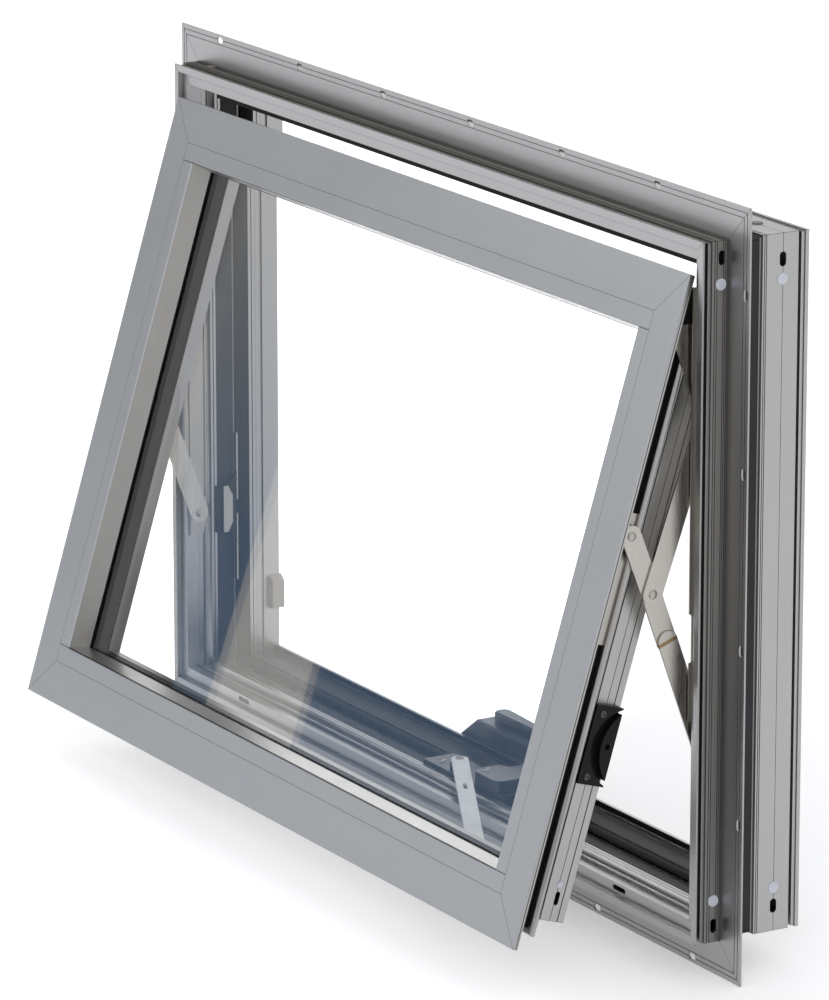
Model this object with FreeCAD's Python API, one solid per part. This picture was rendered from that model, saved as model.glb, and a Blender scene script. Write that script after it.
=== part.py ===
"""Projected (awning) window: thermally broken aluminium frame with a nail fin, and a top-hung sash.

Millimetres. X runs along the sill to the right as seen from outdoors, +Y goes into the
building, Z is up. The origin lies on the back of the nail fin, the face that rests on the
wall, at mid-width and at mid-height of the sill's fin. Sections are drawn as (inset, depth):
inset from the outer edge of the frame or sash towards its middle, depth from the back of
the fin, or from the face of the sash. The sash stands open: its head has slid down and its
foot has swung out.
"""
import math
import os
import FreeCAD
import Part

V = FreeCAD.Vector

# Frame and nail fin
FRAME_WIDTH = 914.4          # 36 in over the frame body
FRAME_HEIGHT = 609.6         # 24 in over the frame body
WALL = 1.8                   # general wall of the extrusions
FIN_REACH = 31.8             # nail fin beyond the frame body
FIN_THICKNESS = 1.6
SCORE_DEPTH = 0.5            # score lines in the face of the fin
SCORE_WIDTH = 0.9
SCORE_INNER = 22.9
SCORE_OUTER = 27.6
SLOT_LENGTH = 10.4           # fastening slots of the fin
SLOT_WIDTH = 6.0
HOLE_PITCH = 152.4           # 6 in
HOLE_OUTSIDE = 26.4          # slot centres outside the frame body
HEAD_FIRST = 42.8            # from the left end of the head, and the right end of the sill
JAMB_FIRST = 42.5            # from the head on the right, and from the sill on the left

# Outer extrusion of the frame
FACE_SETOUT = 27.0           # face flange in front of the back of the fin
FLANGE_THICKNESS = 1.8
FLANGE_FLAT = 6.6            # width of the flat face flange
NECK_INSET = 5.0             # bottom of the open groove behind the flange
REBATE_DROP = 5.5            # step back from the face flange to the overlap face
REBATE_TAPER = 1.2
OVERLAP_INSET = 17.6         # inner edge of the overlap face
FLANGE_GROOVE = 4.2          # open groove between the flange and the outer chamber
SHOULDER_DEPTH = 3.5         # lower front shoulder of the outer chamber
SHOULDER_INSET = 1.5
CHANNEL_START = 18.1         # channel behind the overlap face
CHANNEL_WIDTH = 7.3
CHANNEL_DEPTH = 2.4
COVE_INSET = 16.2            # cove that rises to the ridge beside the thermal break
COVE_DEPTH = 5.8
COVE_SAG = 1.0
RIDGE_INSET = 20.8
RIDGE_DEPTH = 5.9
RIDGE_GROOVE = 0.9
OUTER_TAIL = 1.7             # tongue behind the ridge
BODY_GROOVES = (2.1, 4.3, 10.6, 12.3, 14.0)
BODY_GROOVE_WIDTH = 0.8
BODY_GROOVE_DEPTH = 0.6

# Thermal break and inner extrusion of the frame
BREAK_LENGTH = 18.6
BREAK_INSET = 2.0
BREAK_THICKNESS = 2.0
STRIP_GAP = 0.5
LIP_DEPTH = 2.0              # recessed lip at the front of the inner extrusion
INNER_BODY_DEPTH = 37.5      # inner chamber
REAR_GROOVE = 3.5
REAR_GROOVE_INSET = 9.0
REAR_STEP = 3.5              # ribbed step of the rear flange
REAR_STEP_INSET = 1.0
REAR_FLANGE = 3.5
SEAL_SEAT_INSET = 17.0       # seat of the weather seal on the room face
SEAL_SEAT_DEPTH = 15.9
SEAL_SETBACK = 2.0
SEAL_EDGE = 2.6
SEAL_CROWN = 1.2
ROOM_INSET = 20.0            # inner face of the inner extrusion, towards the room
RIB_BAND = 7.0               # pair of ribs behind the weather seal
RIB_GROOVE = 0.9
RECESS_WIDTH = 8.1
RECESS_DEPTH = 1.5
CENTRE_LINE = 22.0           # fine line in the middle of the inner chamber's outer wall

# Jamb ends, sill and head
JOINT_SLOT_LENGTH = 12.6     # assembly slots in the jamb ends
JOINT_SLOT_WIDTH = 6.4
JOINT_SLOT_END = 14.6
JOINT_SLOT_Y = -8.2
JOINT_SLOT_INNER_END = 22.4
JOINT_SLOT_INNER_Y = 52.4
WEEP_LENGTH = 20.0           # weep slots in the overlap face of the sill
WEEP_HEIGHT = 4.4
WEEP_OUT = 328.6
WEEP_INSET = 12.9
WATER_BAR_SETOUT = 10.4      # water bar on the sill and head, in front of the fin's back
WATER_BAR_THICKNESS = 1.2
WATER_BAR_HEIGHT = 2.8
SILL_LEG_THICKNESS = 3.0     # upstand at the back of the sill
SILL_LEG_HEIGHT = 6.6
LEG_SEAL_THICKNESS = 1.4
SILL_COVER_THICKNESS = 0.8
SILL_COVER_WIDTH = 19.8
END_CLEARANCE = 0.4
HEAD_SEAL_THICKNESS = 1.6    # blade seal below the overlap face of the head
HEAD_SEAL_DROP = 3.8
HEAD_SEAL_START = 55.0

# Sash
SASH_EDGE_INSET = 13.3       # edge of the sash face, from the edge of the frame body
SASH_STANDOFF = 3.2          # shut sash face in front of the frame's face flange
SASH_EDGE = 4.8              # turned edge of the sash face
SASH_EDGE_WIDTH = 2.4
SASH_PLATE = 2.2
SASH_FACE_WIDTH = 38.0       # face of the sash rails up to the bead
SASH_OUTER_DEPTH = 26.8
SASH_BREAK_LENGTH = 9.2
SASH_INNER_DEPTH = 24.0
SASH_INNER_INSET = 24.0
GROOVE_START = 11.7          # hardware groove round the sash
GROOVE_WIDTH = 8.8
GROOVE_DEPTH = 2.5
LIP_REACH = 3.7              # lip behind the hardware groove
LIP_ROUND = 1.6
SASH_LINES = ((9.4, 0.5), (16.8, 1.0))
SASH_LINE_DEPTH = 0.7
SASH_SLOT_LENGTH = 12.0      # assembly slots in the stile ends
SASH_SLOT_WIDTH = 4.5
SASH_SLOT_END = 44.0
SASH_SLOT_DEPTH = 47.2

# Glazing
BEAD_WIDTH = 16.8
BEAD_DEPTH = 19.6
BEAD_SLOPE = 4.6             # how far the reveal leans in towards the glass
BEAD_EDGE = 0.8
GLAZING_SEAL = 2.0
GLAZING_SEAL_WIDTH = 10.0
GLASS_THICKNESS = 6.0
GLASS_CAVITY = 12.0
GLASS_EDGE_GAP = 4.0         # glass edge clear of the sash rail
SPACER_WIDTH = 9.0
SPACER_SIGHT = 1.0           # spacer seen past the edge of the bead

# Open pose and stays
OPEN_ANGLE = 16.88           # degrees
HEAD_SLIDE = 15.9            # how far the head of the sash has slid down
STAY_SETOUT = 9.6            # track centre line in front of the fin's back
TRACK_WIDTH = 18.0
TRACK_BASE = 1.2
TRACK_DEPTH = 2.6
TRACK_LIP = 1.4
TRACK_END = 22.0             # track below the shoe's pin
TRACK_HEAD_GAP = 41.6        # top of the track below the frame's outer edge
TRACK_WING = 6.0             # thin wing of the track, in front of its channel
WING_BELOW_MID = 111.3       # lower end of the wing, from mid-height
NOTCH_BELOW_MID = 39.0       # middle of the notch in the wing
NOTCH_LENGTH = 38.0
NOTCH_DEPTH = 2.4
ARM_THICKNESS = 1.8
ARM_WIDTH = 19.0
ARM_CLEARANCE = 0.5
SHOE_BELOW_MID = 133.0       # sliding shoe of the long arm, from mid-height
SHOE_LENGTH = 30.0
SHOE_CLEARANCE = 0.2
PIVOT_ABOVE_MID = 145.0      # fixed pivot of the short arm, from mid-height
PIVOT_RADIUS = 6.4
ELBOW_OUT = 50.0             # elbow pin in front of the track's centre line
ELBOW_ABOVE_MID = 4.0
CRANK_AT = 46.0              # crease of the long arm, below the elbow
SASH_PIN_DOWN = 224.0        # pin of the long arm, down from the sash head
PIN_RADIUS = 4.0
BAR_LENGTH = 114.0
BAR_TOP = 205.0              # top of the sash bar, down from the sash head
HEAD_GUIDE_GAP = 1.4         # black guide of the sash head, below the top of the track
HEAD_GUIDE_HEIGHT = 21.0
HEAD_GUIDE_FRONT = 20.0      # in front of the track's centre line
HEAD_GUIDE_STEP = 9.0        # thin foot of the guide, above its bracket
BRACKET_FRONT = 28.4         # in front of the track's centre line
BRACKET_BACK = 2.4
BRACKET_HEIGHT = 19.0        # at its front edge; the lower edge slants down to the back
BRACKET_PIN_DOWN = 58.0      # pin of the bracket, down from the sash head

# Locks
KEEPER_DOWN = 368.5          # keeper, down from the sash head
KEEPER_HEIGHT = 69.0
KEEPER_DEPTH = 30.0
KEEPER_WIDTH = 27.0
KEEPER_PROUD = 10.0
KEEPER_FLOOR = 3.0
RAMP_RADIUS = 35.6           # curved channel of the keeper, front wall
RAMP_REACH = 22.6            # front wall, from the back of the keeper
ISLAND_RADIUS = 39.5         # back wall of the channel
ISLAND_REACH = 12.7
KEEPER_HOLE_RADIUS = 2.4
KEEPER_HOLE_DEPTH = 4.0
LOCK_BELOW_MID = 132.0       # middle of the cam, from mid-height
LOCK_FRONT_HEIGHT = 46.0
LOCK_FLARE = 13.0
LOCK_FRONT_Y = 8.4
LOCK_THICKNESS = 2.5
LOCK_CLEARANCE = 0.1
CAM_WIDTH = 10.0
CAM_CORNER = 5.0
CAM_THICKNESS = 3.0
GUIDE_THICKNESS = 1.6
GUIDE_HEIGHT = 5.4
GUIDE_LENGTH = 66.0
GUIDE_GAP = 14.0
LEVER_BELOW_MID = 206.0
LEVER_LENGTH = 34.0
LEVER_WIDTH = 13.0
LEVER_THICKNESS = 7.0
LEVER_BEVEL = 6.0
LEVER_FOOT = 1.5
LEVER_PAST_BACK = 2.0

# Crank operator
GEAR_X = -4.0                # gear pivot, from mid-width
GEAR_Y = 23.4                # gear pivot behind the fin's back
BASE_LEFT = 46.0
BASE_RIGHT = 92.0
BASE_BACK = 15.0             # base plate behind the front of the inner extrusion
BASE_TOP_INSET = 24.0
BASE_OVER_SEAL = 0.3
BOSS_RADIUS = 9.0
ARM_INSET = 32.0             # underside of the pull arm, from the frame's outer edge
PULL_WIDTH = 15.6
PULL_THICKNESS = 2.6
PULL_SLOT_AT = 76.0          # slot along the pull arm, from the gear pivot
PULL_SLOT_LENGTH = 16.5
PULL_SLOT_WIDTH = 3.3
SLIDER_FROM_SIDE = 184.0     # slider at the sash, from the right side of the frame
GEAR_CASE_LEFT = 38.4        # gear case beside the arm, right of the gear pivot
GEAR_CASE_RIGHT = 84.0
GEAR_CASE_FRONT = 10.8       # in front of the gear pivot
GEAR_CASE_HEIGHT = 12.0
GEAR_CASE_ROUND = 9.0
NECK_LEFT = 46.0             # drive from the gear case over the sill's upstand to the cover
NECK_RIGHT = 74.0
NECK_HEIGHT = 8.0
RAIL_DEPTH = 6.0
RAIL_HEIGHT = 14.0
RAIL_LENGTH = 130.0
BUTTON_RADIUS = 5.0
BUTTON_HEIGHT = 9.0
COVER_LEFT = 91.0            # cover on the room side, either side of the gear
COVER_RIGHT = 78.0
COVER_SLOPE = 26.4           # sloping left end, along the sill
COVER_SLOPE_DROP = 18.5
COVER_TOP_INSET = 46.1
COVER_BACK = 33.0            # behind the back of the frame
COVER_DROP = 10.0            # below the room face of the sill
COVER_ROUND = 3.0
HANDLE_HUB_X = 46.0          # handle folded on the cover, hub right of the gear
HANDLE_LENGTH = 104.6
HANDLE_SETBACK = 13.6        # behind the front of the cover
HANDLE_LIFT = 1.2            # above the cover
HANDLE_FOOT = 6.0            # rib under the handle, from its tip
HANDLE_TIP = 17.0
HANDLE_NECK = 11.0
HANDLE_THICKNESS = 7.4
HANDLE_ROUND = 2.5

# Derived places
MID_Z = FIN_REACH / 2 + FRAME_HEIGHT / 2
HALF_W = FRAME_WIDTH / 2
HALF_H = FRAME_HEIGHT / 2
SILL_Z = MID_Z - HALF_H
FACE_Y = -FACE_SETOUT
OVERLAP_Y = FACE_Y + REBATE_DROP
SHOULDER_Y = FACE_Y + FLANGE_THICKNESS + FLANGE_GROOVE
CHAMBER_Y = SHOULDER_Y + SHOULDER_DEPTH
CHANNEL_Y = FACE_Y + CHANNEL_START
COVE_Y = CHANNEL_Y + CHANNEL_WIDTH
RIDGE_Y = COVE_Y + COVE_DEPTH
RIDGE_END = RIDGE_Y + RIDGE_DEPTH
OUTER_END = RIDGE_END + OUTER_TAIL
INNER_START = OUTER_END + BREAK_LENGTH
SEAL_END = INNER_START + SEAL_SEAT_DEPTH
RIB_END = SEAL_END + RIB_BAND
RECESS_END = RIB_END + RECESS_WIDTH
INNER_BODY_END = INNER_START + INNER_BODY_DEPTH
REAR_STEP_Y = INNER_BODY_END + REAR_GROOVE
REAR_FLANGE_Y = REAR_STEP_Y + REAR_STEP
BACK_Y = REAR_FLANGE_Y + REAR_FLANGE
LEG_Y = BACK_Y - SILL_LEG_THICKNESS
SASH_WIDTH = FRAME_WIDTH - 2 * SASH_EDGE_INSET
SASH_HEIGHT = FRAME_HEIGHT - 2 * SASH_EDGE_INSET
SASH_FACE_Y = FACE_Y - SASH_STANDOFF
SASH_INNER_START = SASH_OUTER_DEPTH + SASH_BREAK_LENGTH
SASH_BACK = SASH_INNER_START + SASH_INNER_DEPTH
LIP_INSET = OVERLAP_INSET + TRACK_DEPTH + 2 * ARM_THICKNESS + ARM_CLEARANCE - SASH_EDGE_INSET
SASH_SIDE = LIP_INSET + LIP_REACH
GROOVE_FLOOR = SASH_SIDE + GROOVE_DEPTH
GROOVE_END = GROOVE_START + GROOVE_WIDTH
GLASS_FRONT = BEAD_DEPTH + GLAZING_SEAL
GLASS_BACK = GLASS_FRONT + 2 * GLASS_THICKNESS + GLASS_CAVITY
LEDGE_DEPTH = GLASS_BACK + GLAZING_SEAL
OPENING_INSET = SASH_FACE_WIDTH + BEAD_WIDTH
SIGHT_INSET = OPENING_INSET + BEAD_SLOPE
GLASS_INSET = SASH_FACE_WIDTH + GLASS_EDGE_GAP
SIDES = ("left", "right", "top", "bottom")

os.makedirs("parts", exist_ok=True)


def save(name, shape):
    shape.exportStep("parts/" + name + ".step")


def outline_face(outline):
    """Flat face in (inset, depth); an entry of four numbers is reached by an arc through its last two."""
    edges = []
    start = V(outline[-1][0], outline[-1][1], 0)
    for entry in outline:
        end = V(entry[0], entry[1], 0)
        if len(entry) == 4:
            edges.append(Part.Arc(start, V(entry[2], entry[3], 0), end).toShape())
        else:
            edges.append(Part.makeLine(start, end))
        start = end
    return Part.Face(Part.Wire(edges))


def section(outline, cuts=()):
    """Section of an extrusion; each cut is a hollow or a notch (inset, depth, inset, depth)."""
    face = outline_face(outline)
    for s0, y0, s1, y1 in cuts:
        face = face.cut(outline_face([(s0, y0), (s1, y0), (s1, y1), (s0, y1)]))
    return face


def block(x0, x1, y0, y1, z0, z1):
    return Part.makeBox(x1 - x0, y1 - y0, z1 - z0, V(x0, y0, z0))


def bar(face, side, width, height, half):
    """Straight bar of a section along one side of a rectangle centred on the Y axis."""
    shape = face.copy()
    shape.translate(V(0, 0, -half))
    shape = shape.extrude(V(0, 0, 2 * half))
    if side in ("top", "bottom"):
        shape.rotate(V(0, 0, 0), V(0, 1, 0), 90)
        shape.translate(V(0, 0, height / 2))
        return shape if side == "top" else shape.mirror(V(0, 0, 0), V(0, 0, 1))
    shape.translate(V(-width / 2, 0, 0))
    return shape if side == "left" else shape.mirror(V(0, 0, 0), V(1, 0, 0))


def mitre_block(side, width, height, outward, inward, y0, y1):
    """Prism bounded by the two corner mitres of one side."""
    a = width / 2 + outward
    b = height / 2 + outward
    c = width / 2 - inward
    d = height / 2 - inward
    corners = {
        "top": [(-a, b), (a, b), (c, d), (-c, d)],
        "bottom": [(-a, -b), (a, -b), (c, -d), (-c, -d)],
        "left": [(-a, -b), (-a, b), (-c, d), (-c, -d)],
        "right": [(a, -b), (a, b), (c, d), (c, -d)],
    }[side]
    wire = Part.makePolygon([V(x, y0, z) for x, z in corners + corners[:1]])
    return Part.Face(wire).extrude(V(0, y1 - y0, 0))


def mitred_bar(face, side, width, height, outward=0.0):
    """One bar of a rectangular frame with its ends mitred at 45 degrees."""
    shape = bar(face, side, width, height, max(width, height) / 2 + outward + WALL)
    box = shape.BoundBox
    inward = 2 * SIGHT_INSET
    return shape.common(mitre_block(side, width, height, outward + WALL, inward,
                                    box.YMin - WALL, box.YMax + WALL))


def ring(outline, width, height):
    """Closed rectangular ring of one section, such as a seal."""
    face = section(outline)
    body = None
    for side in SIDES:
        piece = mitred_bar(face, side, width, height)
        body = piece if body is None else body.fuse(piece)
    return body.removeSplitter()


def break_strips(width, height, insets, y0, y1):
    """Straight thermal break strips; the upright ones stop short of the level ones."""
    strips = []
    for inset in insets:
        a = width / 2 - inset
        b = height / 2 - inset
        t = BREAK_THICKNESS
        end = b - t - STRIP_GAP
        strips.append(block(-a, a, y0, y1, b - t, b))
        strips.append(block(-a, a, y0, y1, -b, -b + t))
        strips.append(block(-a, -a + t, y0, y1, -end, end))
        strips.append(block(a - t, a, y0, y1, -end, end))
    return Part.makeCompound(strips)


def to_frame(shape):
    """From a rectangle centred on the Y axis to the frame's place."""
    shape.translate(V(0, 0, MID_Z))
    return shape


def open_sash(shape):
    """From a sash drawn round the Y axis with its face on y = 0 to the open pose."""
    shape.translate(V(0, 0, -SASH_HEIGHT / 2))
    shape.rotate(V(0, 0, 0), V(1, 0, 0), -OPEN_ANGLE)
    shape.translate(V(0, SASH_FACE_Y, MID_Z + SASH_HEIGHT / 2 - HEAD_SLIDE))
    return shape


def sash_point(down, depth):
    """(y, z) in the open pose of a point at a distance below the sash head and a depth."""
    tilt = math.radians(OPEN_ANGLE)
    y = SASH_FACE_Y - down * math.sin(tilt) + depth * math.cos(tilt)
    z = MID_Z + SASH_HEIGHT / 2 - HEAD_SLIDE - down * math.cos(tilt) - depth * math.sin(tilt)
    return y, z


def sash_plane_y(depth, height):
    """y in the open pose where a level line at a height meets a depth of the sash."""
    tilt = math.radians(OPEN_ANGLE)
    head_z = MID_Z + SASH_HEIGHT / 2 - HEAD_SLIDE
    return SASH_FACE_Y + depth / math.cos(tilt) - (head_z - height) * math.tan(tilt)


def obround(length, width, depth):
    """Cutter for an obround hole: length along X, sunk both ways from the XZ plane by depth."""
    r = width / 2
    half = length / 2 - r
    cutter = block(-half, half, -depth, depth, -r, r)
    for x in (-half, half):
        cutter = cutter.fuse(Part.makeCylinder(r, 2 * depth, V(x, -depth, 0), V(0, 1, 0)))
    return cutter.removeSplitter()


def upright_obround(length, width, depth):
    """The same hole with its length along Z, in a wall that faces X."""
    cutter = obround(length, width, depth)
    cutter.rotate(V(0, 0, 0), V(0, 1, 0), 90)
    cutter.rotate(V(0, 0, 0), V(0, 0, 1), 90)
    return cutter


def both_hands(name, shape):
    """Saves a right-hand piece and its mirror image."""
    save(name.replace("SIDE", "right"), shape)
    save(name.replace("SIDE", "left"), shape.mirror(V(0, 0, 0), V(1, 0, 0)))


# Frame extrusions
chord = math.hypot(RIDGE_INSET - COVE_INSET, COVE_DEPTH)
cove_mid = (
    (COVE_INSET + RIDGE_INSET) / 2 - COVE_SAG * COVE_DEPTH / chord,
    (COVE_Y + RIDGE_Y) / 2 + COVE_SAG * (RIDGE_INSET - COVE_INSET) / chord,
)
outer_outline = [
    (0, FACE_Y),
    (FLANGE_FLAT, FACE_Y),
    (FLANGE_FLAT + REBATE_TAPER, OVERLAP_Y),
    (OVERLAP_INSET, OVERLAP_Y),
    (OVERLAP_INSET, CHANNEL_Y),
    (OVERLAP_INSET - CHANNEL_DEPTH, CHANNEL_Y),
    (OVERLAP_INSET - CHANNEL_DEPTH, COVE_Y),
    (COVE_INSET, COVE_Y),
    (RIDGE_INSET, RIDGE_Y) + cove_mid,
    (RIDGE_INSET, RIDGE_END),
    (SEAL_SEAT_INSET, RIDGE_END),
    (SEAL_SEAT_INSET, OUTER_END),
    (0, OUTER_END),
    (0, 0),
    (-FIN_REACH, 0),
    (-FIN_REACH, -FIN_THICKNESS),
    (0, -FIN_THICKNESS),
    (0, CHAMBER_Y),
    (SHOULDER_INSET, CHAMBER_Y),
    (SHOULDER_INSET, SHOULDER_Y),
    (NECK_INSET, SHOULDER_Y),
    (NECK_INSET, FACE_Y + FLANGE_THICKNESS),
    (0, FACE_Y + FLANGE_THICKNESS),
]
ridge_middle = (RIDGE_Y + RIDGE_END) / 2
outer_cuts = [
    (SHOULDER_INSET + WALL, SHOULDER_Y + WALL, OVERLAP_INSET - CHANNEL_DEPTH - WALL, OUTER_END - WALL),
    (RIDGE_INSET - RIDGE_GROOVE, ridge_middle - RIDGE_GROOVE / 2, RIDGE_INSET + 1, ridge_middle + RIDGE_GROOVE / 2),
]
for place in BODY_GROOVES:
    outer_cuts.append((-1, CHAMBER_Y + place, BODY_GROOVE_DEPTH, CHAMBER_Y + place + BODY_GROOVE_WIDTH))
for score in (SCORE_INNER, SCORE_OUTER):
    outer_cuts.append((-score, -FIN_THICKNESS - 1, SCORE_WIDTH - score, SCORE_DEPTH - FIN_THICKNESS))
outer_face = section(outer_outline, outer_cuts)

inner_outline = [
    (BREAK_INSET, INNER_START),
    (BREAK_INSET, INNER_START + LIP_DEPTH),
    (0, INNER_START + LIP_DEPTH),
    (0, INNER_BODY_END),
    (REAR_GROOVE_INSET, INNER_BODY_END),
    (REAR_GROOVE_INSET, REAR_STEP_Y),
    (REAR_STEP_INSET, REAR_STEP_Y),
    (REAR_STEP_INSET, REAR_FLANGE_Y),
    (0, REAR_FLANGE_Y),
    (0, BACK_Y),
    (ROOM_INSET, BACK_Y),
    (ROOM_INSET, RECESS_END),
    (ROOM_INSET - RECESS_DEPTH, RECESS_END),
    (ROOM_INSET - RECESS_DEPTH, RIB_END),
    (ROOM_INSET, RIB_END),
    (ROOM_INSET, SEAL_END),
    (SEAL_SEAT_INSET, SEAL_END),
    (SEAL_SEAT_INSET, INNER_START),
]
rib_middle = (SEAL_END + RIB_END) / 2
inner_cuts = [
    (WALL, INNER_START + LIP_DEPTH + WALL, SEAL_SEAT_INSET - WALL, INNER_BODY_END - WALL),
    (REAR_GROOVE_INSET + WALL, INNER_BODY_END, ROOM_INSET - RECESS_DEPTH - WALL, BACK_Y - WALL),
    (REAR_STEP_INSET + WALL, REAR_STEP_Y + WALL, REAR_GROOVE_INSET + WALL, BACK_Y - WALL),
    (ROOM_INSET - RIB_GROOVE, rib_middle - RIB_GROOVE / 2, ROOM_INSET + 1, rib_middle + RIB_GROOVE / 2),
    (-1, INNER_START + CENTRE_LINE, BODY_GROOVE_DEPTH, INNER_START + CENTRE_LINE + BODY_GROOVE_WIDTH / 2),
]
for place in (LIP_DEPTH + 1.4, LIP_DEPTH + 3.2):
    inner_cuts.append((-1, INNER_START + place, BODY_GROOVE_DEPTH, INNER_START + place + BODY_GROOVE_WIDTH))
inner_face = section(inner_outline, inner_cuts)


def fin_slots(side):
    """Row of fastening slots through the fin of one side."""
    level = side in ("top", "bottom")
    along = FRAME_WIDTH if level else FRAME_HEIGHT
    first = HEAD_FIRST if level else JAMB_FIRST
    turn = 1 if side in ("top", "right") else -1
    outside = turn * (HOLE_OUTSIDE + (HALF_H if level else HALF_W))
    cutters = []
    for k in range(int((along - first) // HOLE_PITCH) + 1):
        t = first + k * HOLE_PITCH - along / 2
        cutter = obround(SLOT_LENGTH, SLOT_WIDTH, 2 * FIN_THICKNESS)
        if level:
            cutter.translate(V(turn * t, 0, outside))
        else:
            cutter.rotate(V(0, 0, 0), V(0, 1, 0), 90)
            cutter.translate(V(outside, 0, -turn * t))
        cutters.append(cutter)
    return Part.makeCompound(cutters)


def end_slots(length, width, wall, x, y, half, end):
    """Two slots through a wall that faces X, one near each end of an upright bar."""
    cutters = []
    for z in (half - end, end - half):
        cutter = upright_obround(length, width, wall + WALL / 2)
        cutter.translate(V(x, y, z))
        cutters.append(cutter)
    return Part.makeCompound(cutters)


def water_bar():
    """Low rib that runs between the jambs behind the overlap face of the sill."""
    half = HALF_W - OVERLAP_INSET
    foot = OVERLAP_INSET - HALF_H
    return block(-half, half, -WATER_BAR_SETOUT, WATER_BAR_THICKNESS - WATER_BAR_SETOUT,
                 foot, foot + WATER_BAR_HEIGHT)


FRAME_NAMES = {"top": "head", "bottom": "sill", "left": "left_jamb", "right": "right_jamb"}
for side in SIDES:
    outer = mitred_bar(outer_face, side, FRAME_WIDTH, FRAME_HEIGHT, FIN_REACH)
    outer = outer.cut(fin_slots(side))
    inner = mitred_bar(inner_face, side, FRAME_WIDTH, FRAME_HEIGHT)
    if side in ("left", "right"):
        wall_x = -HALF_W if side == "left" else HALF_W
        outer = outer.cut(end_slots(JOINT_SLOT_LENGTH, JOINT_SLOT_WIDTH, SHOULDER_INSET + WALL,
                                    wall_x, JOINT_SLOT_Y, HALF_H, JOINT_SLOT_END))
        inner = inner.cut(end_slots(JOINT_SLOT_LENGTH, JOINT_SLOT_WIDTH, WALL,
                                    wall_x, JOINT_SLOT_INNER_Y, HALF_H, JOINT_SLOT_INNER_END))
    if side == "bottom":
        for x in (-WEEP_OUT, WEEP_OUT):
            weep = obround(WEEP_LENGTH, WEEP_HEIGHT, 1.5 * WALL)
            weep.translate(V(x, OVERLAP_Y, WEEP_INSET - HALF_H))
            outer = outer.cut(weep)
        outer = outer.fuse(water_bar()).removeSplitter()
        half = HALF_W - ROOM_INSET
        leg = block(-half, half, LEG_Y, BACK_Y, ROOM_INSET - HALF_H, ROOM_INSET + SILL_LEG_HEIGHT - HALF_H)
        inner = inner.fuse(leg).removeSplitter()
    if side == "top":
        outer = outer.fuse(water_bar().mirror(V(0, 0, 0), V(0, 0, 1))).removeSplitter()
    save("frame_" + FRAME_NAMES[side] + "_outer", to_frame(outer))
    save("frame_" + FRAME_NAMES[side] + "_inner", to_frame(inner))
strips = break_strips(FRAME_WIDTH, FRAME_HEIGHT, (BREAK_INSET, SEAL_SEAT_INSET - BREAK_THICKNESS),
                      OUTER_END, INNER_START)
save("frame_thermal_breaks", to_frame(strips))

# Seals and covers of the frame
seal_top = SEAL_SEAT_INSET + SEAL_EDGE
seal_start = INNER_START + SEAL_SETBACK
weather_seal = ring([
    (SEAL_SEAT_INSET, seal_start),
    (seal_top, seal_start),
    (seal_top, SEAL_END, seal_top + SEAL_CROWN, (seal_start + SEAL_END) / 2),
    (SEAL_SEAT_INSET, SEAL_END),
], FRAME_WIDTH, FRAME_HEIGHT)
save("frame_weather_seal", to_frame(weather_seal))
seal_half = HALF_W - OVERLAP_INSET - END_CLEARANCE
seal_z = HALF_H - OVERLAP_INSET
blade = block(HEAD_SEAL_START - seal_half, seal_half, OVERLAP_Y, OVERLAP_Y + HEAD_SEAL_THICKNESS,
              seal_z - HEAD_SEAL_DROP, seal_z)
save("head_blade_seal", to_frame(blade))
room_half = HALF_W - ROOM_INSET - END_CLEARANCE
room_z = ROOM_INSET - HALF_H
cover_strip = block(-room_half, room_half, SEAL_END + END_CLEARANCE, SEAL_END + SILL_COVER_WIDTH,
                    room_z, room_z + SILL_COVER_THICKNESS)
save("sill_cover_strip", to_frame(cover_strip))
leg_seal = block(-room_half, room_half, LEG_Y - LEG_SEAL_THICKNESS, LEG_Y,
                 room_z + SILL_COVER_THICKNESS + WALL / 2, room_z + SILL_LEG_HEIGHT)
save("sill_leg_seal", to_frame(leg_seal))

# Sash extrusions
lip_middle = (GROOVE_END + SASH_OUTER_DEPTH) / 2
sash_outer_outline = [
    (0, 0),
    (SASH_FACE_WIDTH, 0),
    (SASH_FACE_WIDTH, SASH_OUTER_DEPTH),
    (LIP_INSET + LIP_ROUND, SASH_OUTER_DEPTH),
    (LIP_INSET + LIP_ROUND, GROOVE_END, LIP_INSET, lip_middle),
    (GROOVE_FLOOR, GROOVE_END),
    (GROOVE_FLOOR, GROOVE_START),
    (SASH_SIDE, GROOVE_START),
    (SASH_SIDE, SASH_PLATE),
    (SASH_EDGE_WIDTH, SASH_PLATE),
    (SASH_EDGE_WIDTH, SASH_EDGE),
    (0, SASH_EDGE),
]
sash_outer_cuts = [
    (GROOVE_FLOOR + WALL, SASH_PLATE, SASH_FACE_WIDTH - WALL, SASH_OUTER_DEPTH - WALL),
    (-1, SASH_EDGE / 2, BODY_GROOVE_DEPTH, SASH_EDGE / 2 + BODY_GROOVE_WIDTH),
]
sash_outer_face = section(sash_outer_outline, sash_outer_cuts)
sash_inner_outline = [
    (SASH_INNER_INSET, SASH_INNER_START),
    (SASH_FACE_WIDTH, SASH_INNER_START),
    (SASH_FACE_WIDTH, LEDGE_DEPTH),
    (SIGHT_INSET, LEDGE_DEPTH),
    (SIGHT_INSET, SASH_BACK),
    (SASH_INNER_INSET, SASH_BACK),
]
sash_inner_cuts = [
    (SASH_INNER_INSET + WALL, SASH_INNER_START + WALL, SASH_FACE_WIDTH - WALL, LEDGE_DEPTH + WALL),
    (SASH_INNER_INSET + WALL, LEDGE_DEPTH + WALL, SIGHT_INSET - WALL, SASH_BACK - WALL),
]
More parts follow.
